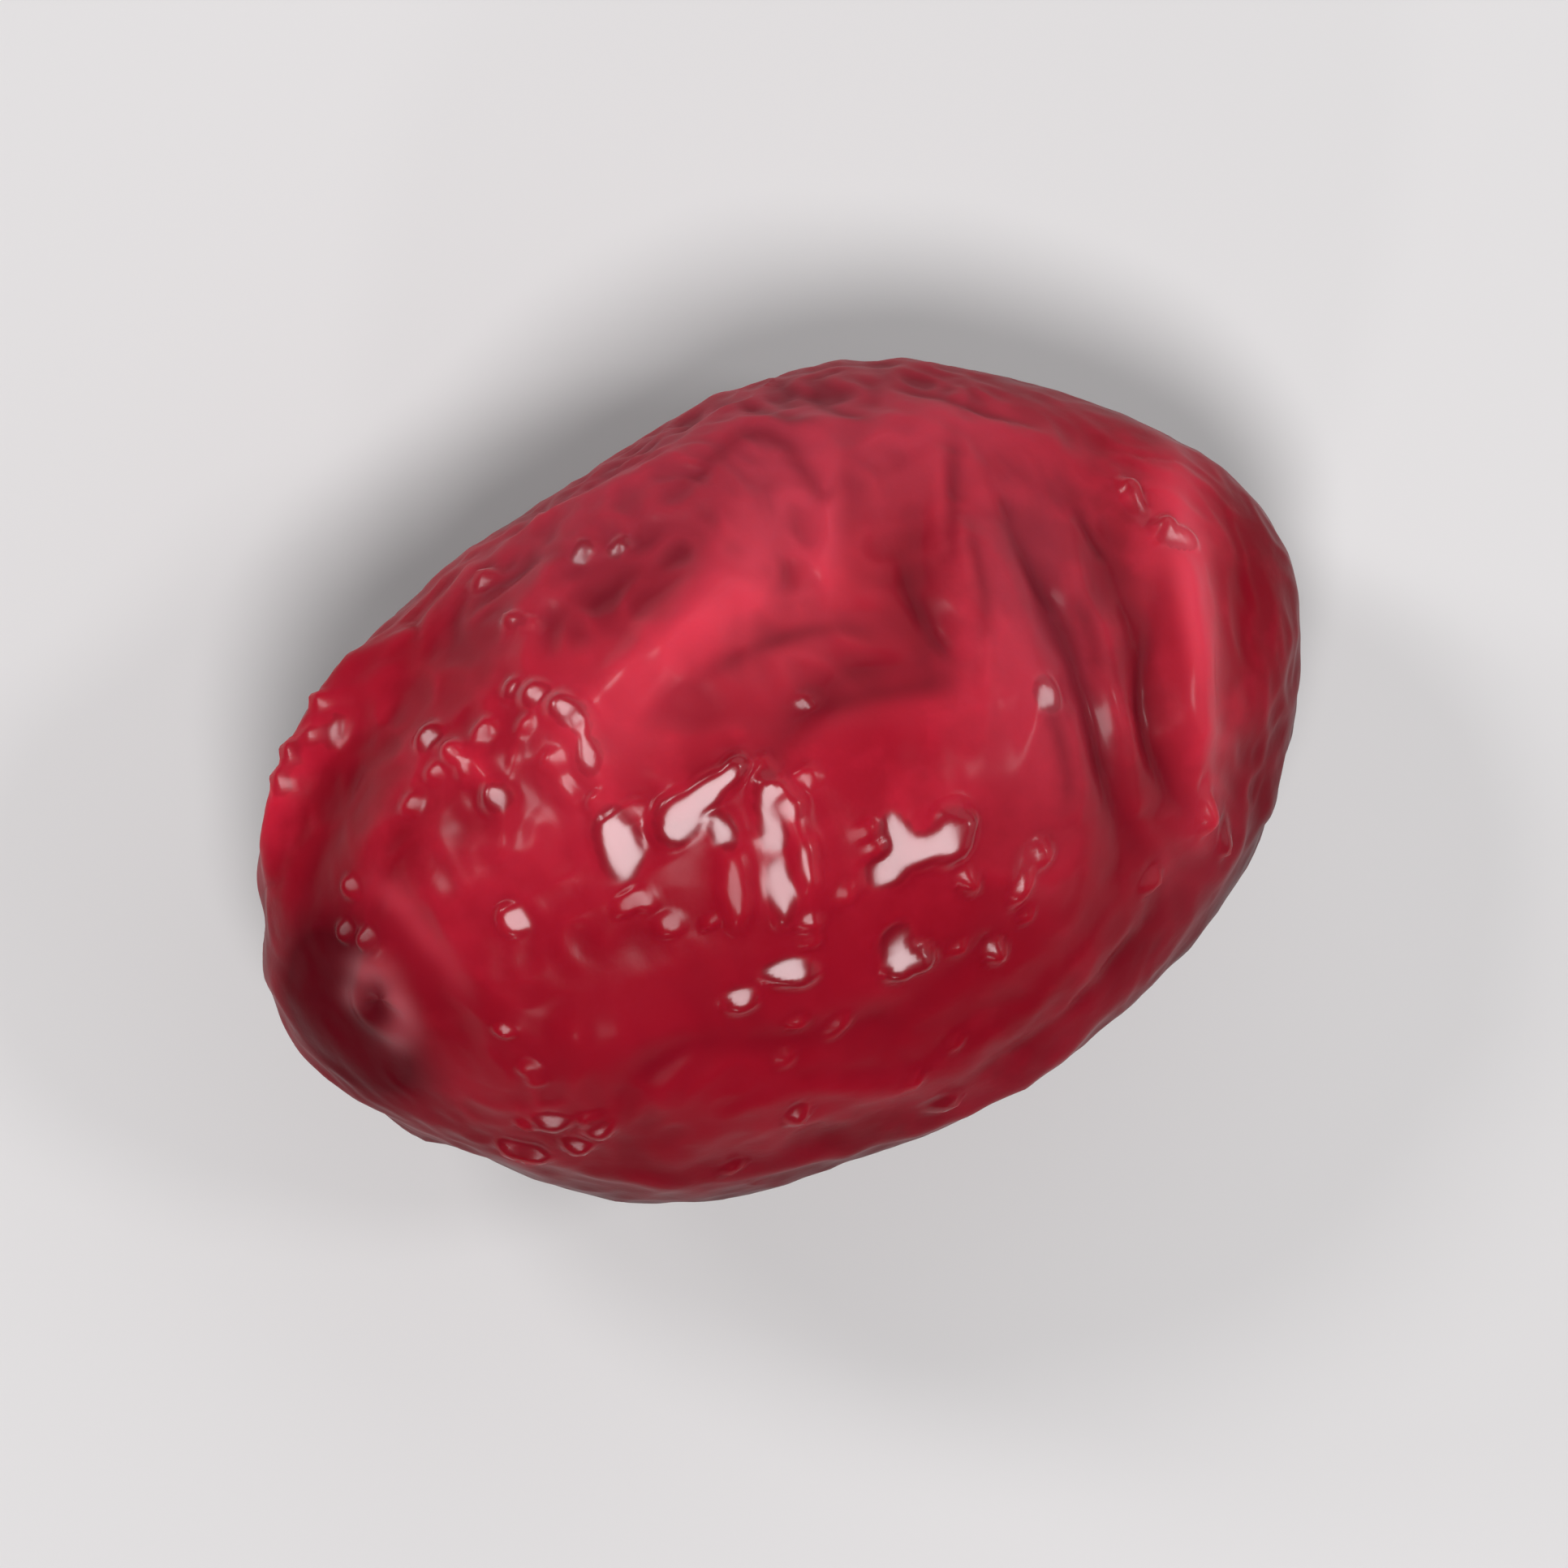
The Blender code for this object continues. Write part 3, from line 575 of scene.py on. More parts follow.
STRAY_SHINE = (0.05, 0.3)
STRAY_UPWARD = 0.75  # they lie where the upward part of the body's normal is more


def stray_beads():
    """Small round beads of weak shine, anywhere between two corners but at the scar."""
    draw = np.random.default_rng(NOISE_SEED + 30)
    inside = ((body[:, :2] > STRAY_BOX[0]) & (body[:, :2] < STRAY_BOX[1])).all(axis=1)
    level = body_normals[:, 2] > STRAY_UPWARD
    upper = np.flatnonzero(inside & level & (scar_distance > 1.2 * DISH_RADIUS))
    for place in body[draw.choice(upper, STRAY_BEADS)]:
        radius = draw.uniform(*STRAY_RADIUS)
        oval = (place[0] / MM, place[1] / MM, radius, radius * STRAY_ROUNDNESS, 0)
        yield draw.uniform(*STRAY_SHINE), [oval]


print(len(BEADS), "beads and smears read off the real fruit, and", STRAY_BEADS, "strewn")

# %% [markdown]
# A round drop mirrors a lamp in a pinprick only, where the real ones show a broad spot. Dried drops have
# flattened tops, so each bead here gets a flat top that mirrors a lamp into the camera. Such a top faces
# halfway between the two. One lamp can't serve them all, because a top leans only so far from its own
# stretch of skin, so five lamps stand round the fruit. Each bead takes the lamp that is nearest, or the
# key lamp where that is nearly as near.

# %% Mirrored lamps
LAMP_PLACES = {  # right, up and towards the camera, in metres
    "key_lamp": (0.005, -0.085, 0.295),
    "side_lamp": (-0.16, 0.13, 0.24),
    "low_lamp": (-0.05, -0.26, 0.17),
    "rim_lamp": (-0.22, 0.12, 0.16),
    "right_lamp": (0.17, 0.02, 0.235),
}
KEY_FIRST = np.array([0.06, 0.0, 0.0, 0.0, 0.0])  # how much nearer, as a cosine, another lamp must be


def mirror_line(lamp_place):
    """The way a skin must face to mirror a lamp into the camera: halfway between the two directions."""
    halfway = from_picture(*lamp_place) / np.linalg.norm(lamp_place) + towards_camera
    return halfway / np.linalg.norm(halfway)


mirror_lines = np.array([mirror_line(place) for place in LAMP_PLACES.values()])
print("tops that mirror the lamps lean by", np.degrees(np.arccos(mirror_lines[:, 2])).round(), "degrees")

# %% [markdown]
# A bead's outline is an oval laid on the skin, and a smear is a few ovals that overlap. Each has a
# window: 1 over nearly all of it, and falling steeply to 0, because a drop ends at a clear line. Noise
# shifts the points a little beforehand, which makes the outlines ragged.

# %% Windows
RAGGED_SPACING = 0.40 * MM
RAGGED_REACH = 0.06 * MM
BEAD_EDGE = 0.04  # in mm, added to each half-size
BEAD_UPWARD = 0.2  # a bead's middle is where the upward part of the skin's normal is more
HIGHER_FIRST = 0.03  # where two stretches of skin lie at one place from above, the higher one is meant

ragged = [smooth_noise(body / RAGGED_SPACING, NOISE_SEED + seed) for seed in (25, 26, 27)]
ragged_shift = RAGGED_REACH * np.column_stack(ragged)


def oval_window(points, normals, ovals):
    """The most, over the ovals, of exp(-(offset / half-size) ** 6), offsets taken along the skin."""
    window = np.zeros(len(points))
    for x, y, half_long, half_wide, turn in ovals:
        gap = ((points[:, :2] / MM - np.array([x, y])) ** 2).sum(axis=1)
        gap = gap - HIGHER_FIRST * points[:, 2] / MM
        here = np.argmin(np.where(normals[:, 2] > BEAD_UPWARD, gap, np.inf))
        along = np.array([np.cos(np.radians(turn)), np.sin(np.radians(turn)), 0.0])
        along -= (along @ normals[here]) * normals[here]
        along /= np.linalg.norm(along)
        offset = (points - points[here]) / MM
        aside = offset @ np.cross(normals[here], along)
        square = (offset @ along / (half_long + BEAD_EDGE)) ** 2 + (aside / (half_wide + BEAD_EDGE)) ** 2
        window = np.maximum(window, np.exp(-(square ** 3)))
    return window * (body[:, 2] > 0)


trial = oval_window(body + ragged_shift, body_normals, BEADS[0][1])
print("the first bead covers", int((trial > 0.5).sum()), "points of the skin")

# %% [markdown]
# A flat top, or facet, leans from its skin towards the mirror line, but only as far as a drop's side
# would. On skin that stands upright it leans less still, or it would stand off the skin like a shelf.

# %% Facets
BEAD_LEAN = 0.7  # the steepest slope of a facet against the skin
UPRIGHT_LEAN = 2.6  # times the square of the upward part of the skin's normal, where that is less


def facet_for(facing):
    """The nearest mirror line, the key lamp's first, or what is nearest to it at the most lean."""
    mirror = mirror_lines[np.argmax(mirror_lines @ facing + KEY_FIRST)]
    slope = mirror / (mirror @ facing) - facing
    most = min(BEAD_LEAN, UPRIGHT_LEAN * facing[2] ** 2)
    facet = facing + slope * min(1.0, most / np.linalg.norm(slope))
    return facet / np.linalg.norm(facet)


def grid_normals(points):
    """Normals across the grid: the step along a ring crossed with the step from ring to ring."""
    grid = points[1:-1].reshape(RINGS - 1, SEGMENTS, 3)
    along = np.roll(grid, -1, axis=1) - np.roll(grid, 1, axis=1)
    down = np.gradient(grid, axis=0)
    across = np.cross(down, along).reshape(-1, 3)
    across = np.vstack([points[0] - points[-1], across, points[-1] - points[0]])
    return across / np.linalg.norm(across, axis=1)[:, None]


print("on level skin a facet faces", np.round(facet_for(towards_camera), 2))

# %% [markdown]
# A mound raises the skin to its facet, so it is flat where its window is 1, and meets the skin where the
# window is 0. A facet that would dip into the skin is raised by a share of that. Where mounds overlap
# they are averaged, so that none spoils another's facet. The way that the skin faces is read from the
# body, which is calmer, except where the body stands upright: there the skin's own way counts.

# %% Mounds
BEAD_RISE = 0.035 * MM
BEAD_LIMIT = 0.24 * MM  # the most that a facet's edge goes up or down
CLEAR_SHARE = 0.35  # of the deepest dip, by which a facet is raised
UPRIGHT = 0.6  # the skin's own normal begins to count where the upward part of the body's is less
UPRIGHT_BLEND = 0.2  # and counts alone where it is less by this
SYRUP_SPREAD = 1.5  # the syrup's shine reaches a little further out than the mound

relief = (folds + creases) * calm


def raised(heights):
    """Each point of the body at its flat share, plus its height times the body's normal."""
    return body * flat_share[:, None] + heights[:, None] * body_normals


def mounds(points):
    """Window * (way up to the facet + rise), averaged where they overlap, and the most of shine * window."""
    heights, shares, syrup = np.zeros((3, len(points)))
    normals = grid_normals(points)
    upright = np.clip((UPRIGHT - body_normals[:, 2:]) / UPRIGHT_BLEND, 0, 1)
    facings = body_normals + upright * (normals - body_normals)
    for shine, ovals in BEADS + list(stray_beads()):
        window = oval_window(points + ragged_shift, normals, ovals)
        middle = window @ points / window.sum()
        facing = window @ facings
        facet = facet_for(facing / np.linalg.norm(facing))
        chosen = np.flatnonzero(window > 0.001)
        way_up = (middle - points[chosen]) @ facet / (body_normals[chosen] @ facet)
        way_up = BEAD_LIMIT * np.tanh(way_up / BEAD_LIMIT)
        dip = max(0.0, -way_up[window[chosen] > 0.5].min(initial=0.0))
        heights[chosen] += window[chosen] * (way_up + CLEAR_SHARE * dip + BEAD_RISE)
        shares += window
        syrup = np.maximum(syrup, shine * np.minimum(SYRUP_SPREAD * window, 1))
    return heights / np.maximum(shares, 1), syrup


mound_heights, syrup = mounds(raised(relief + scar + pit + film))
film += mound_heights
print("the mounds run from", span(mound_heights), "mm")

# %% [markdown]
# All the layers are added up along the body's normals. The result is scaled to the solid's own box and
# let down by what the flat spot takes off, so that it stands exactly where the solid stands.

# %% Fitting
REST_DEPTH = 0.35 * MM


def fitted(points):
    """The points scaled about their middle to the solid's box, and none of them below its base."""
    low, high = points.min(axis=0), points.max(axis=0)
    size = box_size + np.array([0.0, 0.0, REST_DEPTH])
    placed = (points - (low + high) / 2) * size / (high - low)
    placed += (box_low + box_high) / 2 - np.array([0.0, 0.0, REST_DEPTH / 2])
    placed[:, 2] = np.maximum(placed[:, 2], box_low[2])
    return placed


skin_points = fitted(raised(relief + scar + pit + film))
print("the skin's box in mm:", np.round(np.ptp(skin_points, axis=0) / MM, 2))

# %% [markdown]
# Points alone aren't a surface. Each ring is joined to the next with quads, and a fan of triangles closes
# each pole, so the skin has neither a seam nor a hole. Faces whose points run anticlockwise, as seen from
# outside, face outwards.

# %% Skin


def add_object(name, data):
    """A new object round its data, linked to the scene."""
    new_object = bpy.data.objects.new(name, data)
    bpy.context.scene.collection.objects.link(new_object)
    return new_object


def skin_faces():
    """Quads (ring, ring below) for each step round, and a fan at either pole, as arrays of indices."""
    here = np.arange(SEGMENTS)
    after = (here + 1) % SEGMENTS
    ring = 1 + SEGMENTS * np.arange(RINGS - 2)[:, None]
    below = ring + SEGMENTS
    quads = np.stack([ring + here, below + here, below + after, ring + after], axis=2)
    last_ring = 1 + SEGMENTS * (RINGS - 2)
    pole = np.full(SEGMENTS, last_ring + SEGMENTS)
    first_fan = np.stack([np.zeros(SEGMENTS, int), 1 + here, 1 + after], axis=1)
    last_fan = np.stack([pole, last_ring + after, last_ring + here], axis=1)
    return quads.reshape(-1, 4).tolist() + first_fan.tolist() + last_fan.tolist()


skin_mesh = bpy.data.meshes.new("fruit_skin")
skin_mesh.from_pydata(skin_points.tolist(), [], skin_faces())
skin_mesh.shade_smooth()
skin = add_object("fruit_skin", skin_mesh)
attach(skin, "root")
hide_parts("fruit")
print(len(skin_mesh.polygons), "faces,", 2 * SEGMENTS * (RINGS - 1), "triangles")

# %% [markdown]
# The colour follows the form: crests get painted light, and valleys and creases get painted shade. A picture
# could be painted for that, but the heights are known at each point already. They go on the mesh as
# attributes, one number per point, and the material reads them by name.

# %% Attributes
RELIEF_REACH = 0.32 * MM  # the height at which a crest takes its full painted light
FINE_SHADE = 2.5  # the fine wrinkles get more painted light and shade than their height alone would give


def give(name, values):
    """Writes one number per point to the mesh, under a name that the material reads."""
    mesh_attribute = skin_mesh.attributes.new(name=name, type="FLOAT", domain="POINT")
    mesh_attribute.data.foreach_set("value", values.astype(np.float32))
    print(name, "runs from", round(float(values.min()), 2), "to", round(float(values.max()), 2))


# relief: above 0 for painted light on crests, below 0 for painted shade in valleys
give("relief", np.clip((relief + FINE_SHADE * FINE_HEIGHT * fine) / RELIEF_REACH, -1, 1))
# the creases' shares, for painted shade along the sharp creases
give("painted_crease_shade", crease_shade_shares)
give("syrup", syrup)

# %% [markdown]
# The fruit's end with the scar gets painted shade, most of all on the dish's side towards the picture's
# lower left, on the skin just past that, and at the rim. The last two are soft balls of painted shade round
# a place each. The stalk's pit is darkened all through with painted shade.

# %% Painted shade at the ends
SHADE_WAY = from_picture(-0.85, -0.5, 0.0)
SHADE_REACH = 2.2 * MM
PAST_DISH_SHADE_PLACE = scar_place + np.array([-0.5, -1.2, -0.6]) * MM
PAST_DISH_SHADE_REACH = 2.9 * MM
RIM_SHADE_PLACE = scar_place + np.array([-0.9, 0.3, -0.9]) * MM
RIM_SHADE_REACH = 1.7 * MM


def ball(place, reach):
    """Exp(-(distance / reach) cubed): nearly 1 round a place, and nearly 0 well past the reach."""
    return np.exp(-((np.linalg.norm(body - place, axis=1) / reach) ** 3))


# painted shade round the scar, strongest on the dish's side towards the picture's lower left, and in the pit
shaded_side = np.clip(0.35 + scar_offset @ SHADE_WAY / SHADE_REACH, 0.12, 1)
painted_shade = (0.9 * dish_share + 0.8 * ball(PAST_DISH_SHADE_PLACE, PAST_DISH_SHADE_REACH)) * shaded_side
painted_shade = np.clip(painted_shade + 0.6 * ball(RIM_SHADE_PLACE, RIM_SHADE_REACH) + 0.7 * pit_share, 0, 1)
give("painted_shade", painted_shade)

# %% [markdown]
# Some stretches are painted paler, as painted light and sheen, and some deeper, as painted shade, beyond
# what their height says.
# They could be painted on with a brush. Here each is a soft oval with an amount, like a stroke of thin
# paint, so a stroke that looks wrong can be found in the list and changed.

# %% Painted light and shade tones
LIGHT_AND_SHADE_TONES = [  # along and across, reach along and across, in mm, turn in degrees, and how much painted light (-: how much painted shade)
    (-6.18, 1.14, 0.50, 0.22, -57, 0.6),
    (-5.84, 0.34, 0.55, 0.22, -69, 0.7),
    (-5.63, -0.48, 0.50, 0.22, 83, 0.6),
    (7.5, 0.1, 2.6, 0.50, 66, 0.9),
    (6.75, -0.7, 1.9, 0.20, 66, -0.8),
    (-3.0, -2.4, 2.2, 1.5, 10, -0.8),
    (2.2, 3.6, 1.6, 0.9, 60, 0.8),
    (0.6, 2.8, 2.6, 1.0, 20, 0.7),
    (-1.6, 1.8, 2.0, 0.8, 25, 0.35),
    (-4.0, 0.6, 1.8, 1.6, 0, 0.1),
    (-4.2, -1.2, 2.6, 2.6, 0, -0.7),
    (-1.4, -0.9, 2.0, 1.2, 0, -0.4),
    (-4.8, 3.2, 2.6, 1.0, 30, -0.3),
    (4.4, 0.4, 2.6, 1.2, 70, 0.3),
    (-0.8, 3.9, 2.2, 0.5, 15, -0.6),
    (3.0, 3.4, 1.4, 0.28, 64, -0.7),
    (5.6, 3.0, 1.6, 0.5, -20, -0.5),
    (8.2, -0.6, 1.6, 0.5, 66, -0.2),
    (3.4, -4.2, 2.8, 0.8, 12, -0.4),
    (1.2, 1.3, 1.5, 0.9, 20, 0.5),
    (-1.0, -4.6, 2.8, 1.0, -4, -0.6),
    (1.4, -2.8, 3.4, 1.5, 8, -0.75),
    (4.8, 3.7, 1.5, 0.7, -20, 0.6),
    (-1.9, 3.6, 0.9, 0.7, 20, 0.5),
    (5.6, -4.0, 1.9, 0.8, 45, 0.5),
    (-5.3, 4.6, 1.6, 0.6, 30, -0.8),
    (-7.5, 1.9, 0.8, 0.8, 0, -0.6),
    (-5.9, -1.0, 0.7, 0.6, 0, -0.5),
    (-4.1, -4.2, 1.4, 0.7, -4, -0.6),
]
SCAR_LOBES = [  # the pale lobes of the scar's ring, in the same form
    (-7.04, 0.30, 0.42, 0.24, -32, 0.9),
    (-6.80, -0.45, 0.44, 0.22, 88, 1.0),
    (-7.54, 0.05, 0.26, 0.24, 0, 0.6),
    (-7.21, -0.89, 0.30, 0.28, 0, 0.7),
]


def tone_sum(tones):
    """The sum over tones of amount * exp(-(offset / reach) squared), on the upper skin, held within 1."""
    total = np.zeros(len(body))
    for x, y, reach_long, reach_wide, turn, amount in tones:
        offset = (body[:, :2] - np.array([x, y]) * MM) / MM
        along = np.array([np.cos(np.radians(turn)), np.sin(np.radians(turn))])
        aside = np.array([-along[1], along[0]])
        square = (offset @ along / reach_long) ** 2 + (offset @ aside / reach_wide) ** 2
        total += abs(amount) * np.exp(-square) * np.clip(body_normals[:, 2] * 4, 0, 1)
    return np.clip(total, 0, 1)


# painted light and sheen from the pale strokes, painted shade from the deep ones
give("painted_light_tones", tone_sum([tone for tone in LIGHT_AND_SHADE_TONES if tone[-1] > 0]))
give("painted_shade_tones", tone_sum([tone for tone in LIGHT_AND_SHADE_TONES if tone[-1] < 0]))
give("lobes", tone_sum(SCAR_LOBES))

# %% [markdown]
# The real fruit's finely wrinkled far rim and a patch on its stalk's half look dull: they are rougher, and
# greyed with painted sheen. Its wettest skin is what faces up, but not the tight cheek towards the picture's
# bottom. Skin that turns down gets painted shade. All of that follows from where a point is and which way
# the body faces there.

# %% Dull skin with painted sheen, wet skin, and painted shade on low skin
DULL_PLACE = np.array([5.2, 1.0])  # along and across the fruit, in mm
DULL_AXES = np.array([[0.36, -0.93], [0.93, 0.36]])  # its columns are the patch's long and short axes
DULL_REACH = (3.4, 1.5)  # in mm along those
TIGHT_PLACE = np.array([-0.8, -2.2])
TIGHT_REACH = np.array([4.8, 3.4])
DOWNTURN_SHADE_WAY = np.array([-0.05, 0.22, 0.97])
DOWNTURN_SHADE_START = 0.62  # skin gets painted shade where its normal's part along that way is less

dull_offset = (body[:, :2] - DULL_PLACE * MM) @ DULL_AXES / MM
dull_sheen_patch = np.exp(-((dull_offset[:, 0] / DULL_REACH[0]) ** 2 + (dull_offset[:, 1] / DULL_REACH[1]) ** 2))
dull_sheen_patch *= body[:, 2] > 0
tight = (((body[:, :2] / MM - TIGHT_PLACE) / TIGHT_REACH) ** 2).sum(axis=1)
tight = np.exp(-(tight ** 2)) * (body[:, 2] > 0)
wet = np.clip((body_normals[:, 2] - 0.45) / 0.4, 0, 1) * (1 - 0.7 * far_side) * (1 - 0.95 * tight)
# dull skin is rougher, and greyed with a painted sheen
give("dull_with_sheen", np.clip(far_side + 0.9 * dull_sheen_patch, 0, 1))
give("wet", wet * (1 - 0.8 * np.maximum(painted_shade, dish_share)) * (1 - 0.6 * dull_sheen_patch))
# painted shade on skin that turns down, less on the far rim
low = np.clip((DOWNTURN_SHADE_START - body_normals @ DOWNTURN_SHADE_WAY) / 0.9, 0, 1)
give("low", low * (1 - 0.6 * far_side))

# %% [markdown]
# Shader maths reads best as arithmetic, and a chain of Math nodes placed by hand doesn't. A small class
# wraps a socket instead, and each operator adds the Math node that does it.

# %% Values


class Value:
    """A number that changes over the surface: wraps a socket, and its operators add Math nodes."""

    def __init__(self, nodes, socket):
        self.nodes = nodes
        self.socket = socket

    def math(self, operation, first, second, **settings):
        settings["operation"] = operation
        node = self.nodes.add("ShaderNodeMath", settings, {0: first, 1: second})
        return Value(self.nodes, node.outputs[0])

    def __add__(self, other):
        return self.math("ADD", self, other)

    def __sub__(self, other):
        return self.math("SUBTRACT", self, other)

    def __mul__(self, other):
        return self.math("MULTIPLY", self, other)

    def __rsub__(self, other):
        return self.math("SUBTRACT", other, self)

    def held(self):
        """The value kept between 0 and 1."""
        return self.math("ADD", self, 0.0, use_clamp=True)

    __radd__ = __add__
    __rmul__ = __mul__


print("a Value can be added, taken away and multiplied")

# %% [markdown]
# A second class stands for one material. It makes any other node in one call, its settings first and
# then its sockets, and has short names for the kinds that are used most.

# %% Nodes


class Nodes:
    """One material's nodes."""

    def __init__(self, material):
        material.use_nodes = True
        self.tree = material.node_tree
        self.shader = self.tree.nodes["Principled BSDF"]

    def put(self, socket, value):
        """Links a socket or a Value to a socket, or sets it to a plain number, colour or vector."""
        if isinstance(value, Value):
            value = value.socket
        if isinstance(value, bpy.types.NodeSocket):
            self.tree.links.new(value, socket)
        else:
            socket.default_value = value

    def add(self, kind, settings=None, sockets=None):
        """A node of a kind, its settings made first, then its sockets by name or number."""
        node = self.tree.nodes.new(kind)
        for name, setting in (settings or {}).items():
            setattr(node, name, setting)
        for key, value in (sockets or {}).items():
            self.put(node.inputs[key], value)
        return node

    def attribute(self, name):
        node = self.add("ShaderNodeAttribute", {"attribute_name": name})
        return Value(self, node.outputs["Fac"])

    def noise(self, place, scale, detail=3.0, roughness=0.55):
        sockets = {"Vector": place, "Scale": scale, "Detail": detail, "Roughness": roughness}
        node = self.add("ShaderNodeTexNoise", {"noise_dimensions": "3D"}, sockets)
        return Value(self, node.outputs["Fac"])

    def blend(self, share, first, second):
        """A colour between two: sockets 6 and 7 of a Mix node are its colours, and output 2 the result."""
        node = self.add("ShaderNodeMix", {"data_type": "RGBA"}, {0: share, 6: first, 7: second})
        return node.outputs[2]


print("a material's nodes can be made")

# %% [markdown]
# The skin is a thin crimson film over flesh that lets light through. Its colour is mixed from few pigments,
# from the broadest stretch to the smallest mark: slow noise makes one stretch riper than the next, a finer
# noise mottles it, dark syrup stands in the beads, and the scar's ring has paler lobes. Over that go painted
# light on the crests and on listed stretches, a painted grey sheen on the dull skin, and painted shade in
# the valleys, along the creases, on listed stretches, on skin that turns down, at the scar's end and in the
# pit.

# %% Skin colour
CRIMSON = (0.52, 0.012, 0.036, 1.0)
RIPE_AND_SHADE_RED = (0.28, 0.004, 0.014, 1.0)
BRIGHT = (0.76, 0.022, 0.058, 1.0)
LIGHT_AND_SHEEN_PINK = (0.74, 0.056, 0.095, 1.0)
GREY_SHEEN = (0.32, 0.038, 0.060, 1.0)
SCAR_SKIN = (0.42, 0.090, 0.110, 1.0)
SYRUP_AND_SHADE = (0.085, 0.001, 0.005, 1.0)

skin_material = bpy.data.materials.new("syrupy_skin")
nodes = Nodes(skin_material)
place = nodes.add("ShaderNodeTexCoord").outputs["Object"]
height = nodes.attribute("relief")
slow = nodes.noise(place, 190.0, detail=2.0)
mottle = nodes.noise(place, 900.0, detail=4.0, roughness=0.6)

colour = nodes.blend(((slow - 0.42) * 4.0).held(), RIPE_AND_SHADE_RED, CRIMSON)
for share, pigment in [
    # painted light on the crests, and the skin's own mottling
    (height * 0.75 + (mottle - 0.5) * 1.3, BRIGHT),
    # painted light and sheen on listed stretches
    (nodes.attribute("painted_light_tones") * (0.75 + height * 0.35), LIGHT_AND_SHEEN_PINK),
    # painted shade on listed stretches
    (nodes.attribute("painted_shade_tones") * 0.85, RIPE_AND_SHADE_RED),
    # a painted grey sheen on the dull skin
    (nodes.attribute("dull_with_sheen") * 0.7, GREY_SHEEN),
    # painted shade in the valleys
    ((0.0 - height) * 0.8, SYRUP_AND_SHADE),
    # painted shade on skin that turns down
    (nodes.attribute("low") * 1.1, SYRUP_AND_SHADE),
    # painted shade along the sharp creases
    (nodes.attribute("painted_crease_shade") * 0.42, SYRUP_AND_SHADE),
    ((nodes.attribute("syrup") - 0.55) * 0.8, SYRUP_AND_SHADE),
    # painted shade at the scar's end and in the pit
    (nodes.attribute("painted_shade") * 0.95, SYRUP_AND_SHADE),
    (nodes.attribute("lobes") * 0.75, SCAR_SKIN),
]:
    colour = nodes.blend(share.held(), colour, pigment)
nodes.put(nodes.shader.inputs["Base Color"], colour)
print(len(nodes.tree.nodes), "nodes give the skin its colour")

# %% [markdown]
# Light goes into the flesh and comes out redder, which is subsurface scattering. The syrup is a clear
# gloss over it, which is a coat, thickest on the beads. Under the coat the skin itself is fairly rough,
# and a very fine grain breaks up its sheen. That grain is too small for the mesh, so it is a bump.

# %% Skin gloss
grain = nodes.noise(place, 2600.0, detail=3.0)
rough = 0.36 + (mottle - 0.5) * 0.3 + nodes.attribute("dull_with_sheen") * 0.12
coat = 0.02 + nodes.attribute("wet") * 0.35 + nodes.attribute("syrup") * 0.95
bump = nodes.add("ShaderNodeBump", None, {"Strength": 0.35, "Distance": 0.00003, "Height": grain})
nodes.put(nodes.shader.inputs["Roughness"], rough)
nodes.put(nodes.shader.inputs["Coat Weight"], coat)
nodes.put(nodes.shader.inputs["Normal"], bump.outputs["Normal"])
for name, value in {
    "Subsurface Weight": 0.45,
    "Subsurface Radius": (1.0, 0.22, 0.16),
    "Subsurface Scale": 0.0011,
    "Coat Roughness": 0.20,
    "Coat IOR": 1.38,
    "Specular IOR Level": 0.04,
}.items():
    nodes.shader.inputs[name].default_value = value
skin_mesh.materials.append(skin_material)
print(len(nodes.tree.nodes), "nodes in the skin's material")

# %% [markdown]
# The floor is one plain square, matt and pale, so that it only catches the fruit's shadow and draws no
# look to itself.

# %% Floor
FLOOR_HALF = 0.6
FLOOR_COLOUR = (0.70, 0.70, 0.69, 1.0)

corners = [(-1, -1), (1, -1), (1, 1), (-1, 1)]
floor_mesh = bpy.data.meshes.new("floor")
floor_points = [(x * FLOOR_HALF, y * FLOOR_HALF, box_low[2]) for x, y in corners]
floor_mesh.from_pydata(floor_points, [], [(0, 1, 2, 3)])
floor = add_object("floor", floor_mesh)
floor_material = bpy.data.materials.new("pale_floor")
floor_nodes = Nodes(floor_material)
floor_nodes.shader.inputs["Base Color"].default_value = FLOOR_COLOUR
floor_nodes.shader.inputs["Roughness"].default_value = 0.75
floor_mesh.materials.append(floor_material)
print("the floor is level with", round(float(box_low[2]) / MM, 3), "mm")

# %% [markdown]
# Five small round lamps stand where the beads mirror them, and the first of them, nearly over the fruit,
# is the strongest. Two broad soft ones stand lower at the picture's top and right, where the folds catch
# them as a grey-pink sheen. A dim room fills the shade a little.

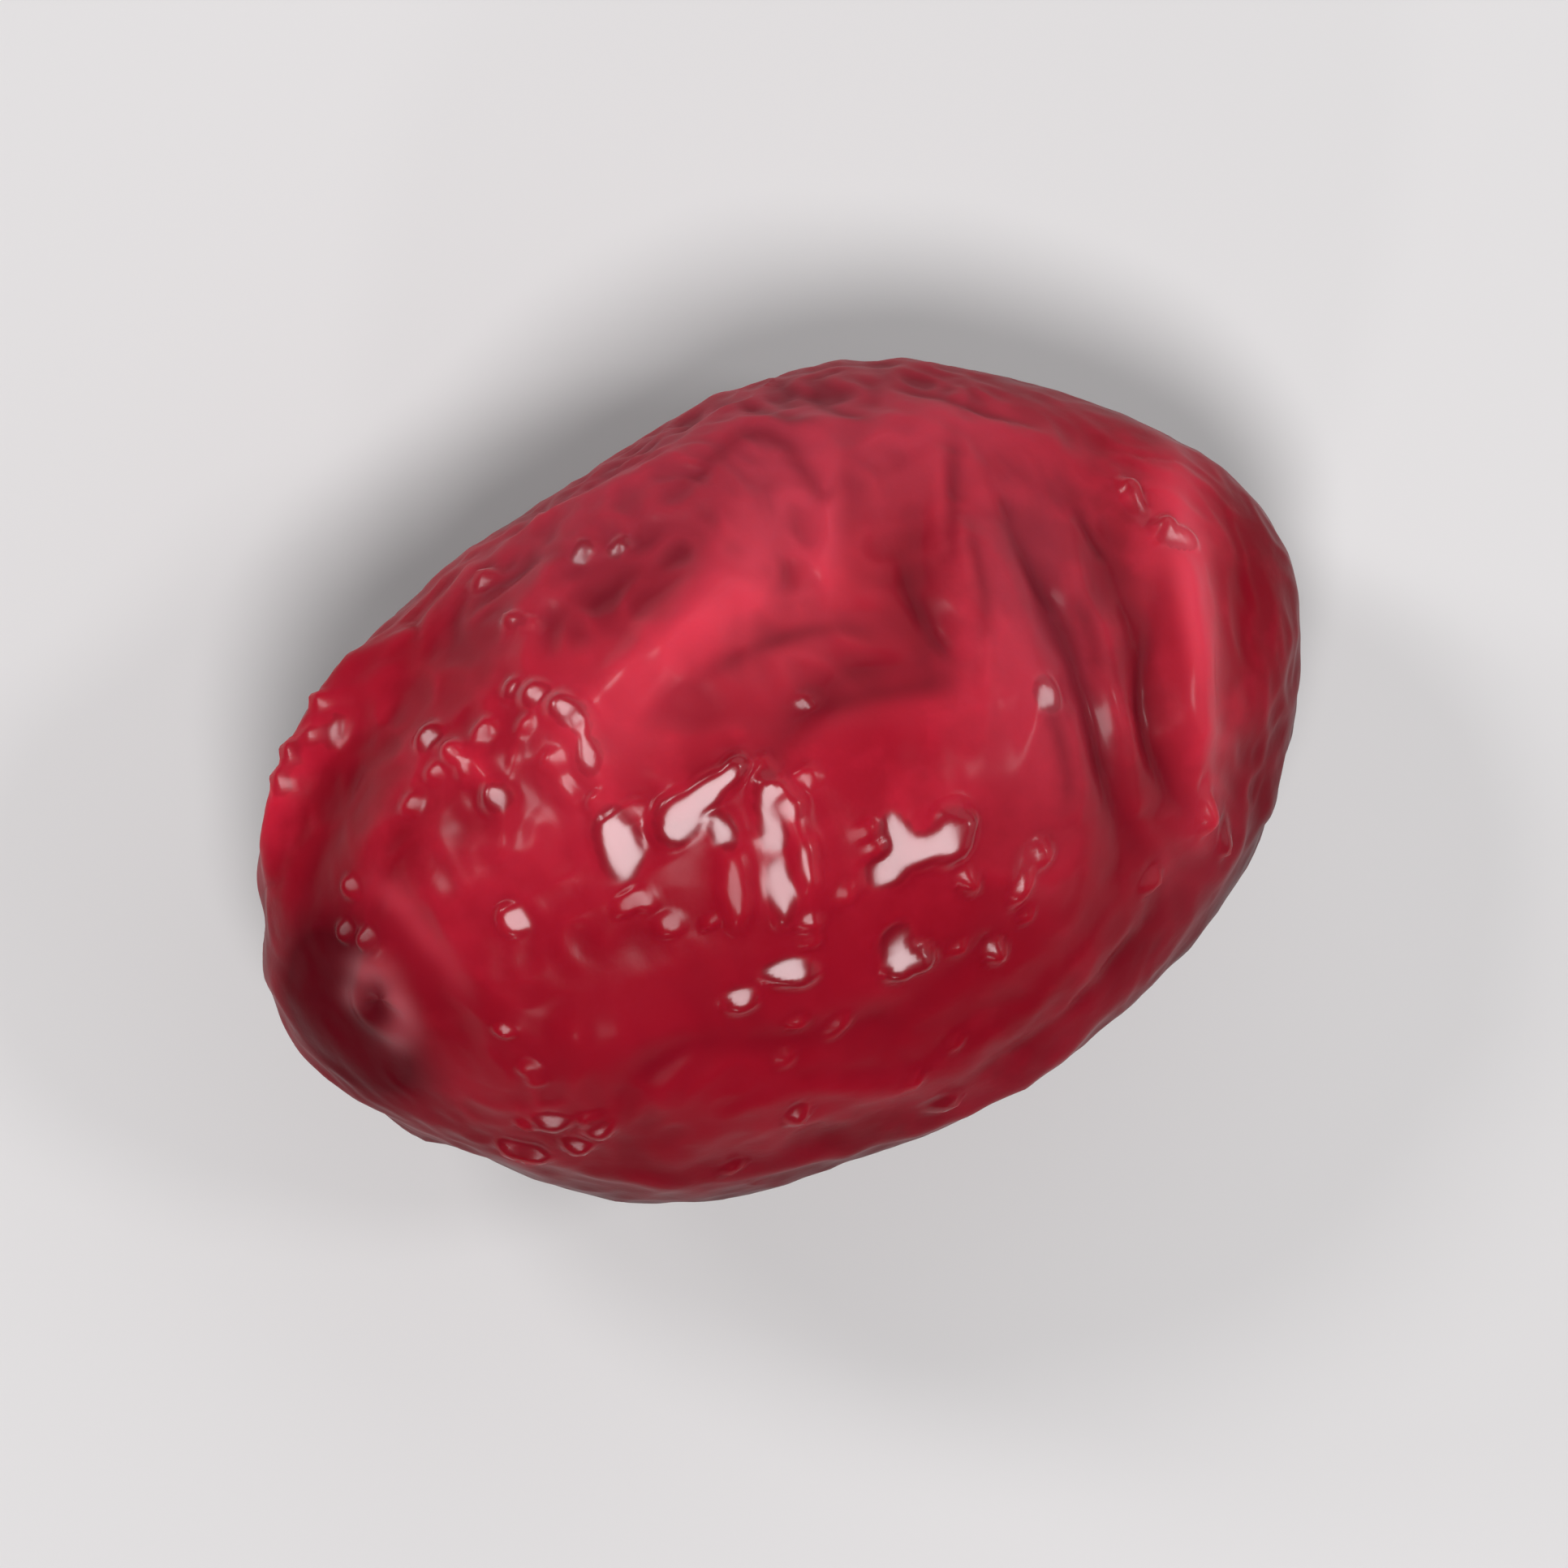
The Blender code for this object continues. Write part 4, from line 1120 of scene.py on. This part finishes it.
# %% Lamps
SPARK_COLOUR = (1.0, 0.97, 0.99)
SOFT_COLOUR = (0.95, 0.97, 1.0)
MIRRORED_LAMPS = {  # width in metres and power in watts
    "key_lamp": (0.100, 0.54),
    "side_lamp": (0.070, 0.18),
    "low_lamp": (0.042, 0.06),
    "rim_lamp": (0.050, 0.10),
    "right_lamp": (0.050, 0.10),
}
ROOM_LIGHT = 0.06
fruit_middle = Vector((box_low + box_high) / 2)


def lamp(name, place, width, height, power, colour):
    """A round or oval lamp at a place in the picture's axes, facing the fruit's middle."""
    light = bpy.data.lights.new(name, "AREA")
    light.shape = "ELLIPSE"
    light.size = width
    light.size_y = height
    light.energy = power
    light.color = colour
    holder = add_object(name, light)
    holder.location = from_picture(*place)
    holder.rotation_euler = (fruit_middle - holder.location).to_track_quat("-Z", "Y").to_euler()


for name, (width, power) in MIRRORED_LAMPS.items():
    lamp(name, LAMP_PLACES[name], width, width, power, SPARK_COLOUR)
lamp("back_softbox", (0.15, 0.34, 0.26), 0.60, 0.45, 0.46, SOFT_COLOUR)
lamp("side_softbox", (0.38, -0.02, 0.24), 0.45, 0.45, 0.34, SOFT_COLOUR)

world = bpy.data.worlds.new("room")
bpy.context.scene.world = world
world.use_nodes = True
background = world.node_tree.nodes["Background"]
background.inputs["Color"].default_value = (1.0, 1.0, 1.0, 1.0)
background.inputs["Strength"].default_value = ROOM_LIGHT
print(len(bpy.data.lights), "lamps and a dim room")

# %% [markdown]
# The camera looks straight down, as the real one did, and is rolled so that the fruit lies at its angle.
# A long lens from far off keeps the perspective as slight as it is on one small thing in a large view.

# %% Camera
LENS_MM = 300.0
SENSOR_MM = 36.0
VIEW_WIDTH = 25.0 * MM

camera_data = bpy.data.cameras.new("camera")
camera_data.lens = LENS_MM
camera_data.sensor_width = SENSOR_MM
camera_data.clip_start = 0.01
camera = add_object("camera", camera_data)
camera_distance = VIEW_WIDTH * LENS_MM / SENSOR_MM
camera.location = fruit_middle + Vector(from_picture(0, 0, camera_distance))
camera.rotation_euler = (0.0, 0.0, -picture_turn)
bpy.context.scene.camera = camera
bpy.context.scene.view_settings.view_transform = "Standard"
print("the camera is", round(camera_distance / MM), "mm above the fruit")

# %% [markdown]
# Last, the script says that the fruit is dressed.

# %% Finish


print("the fruit is dressed")
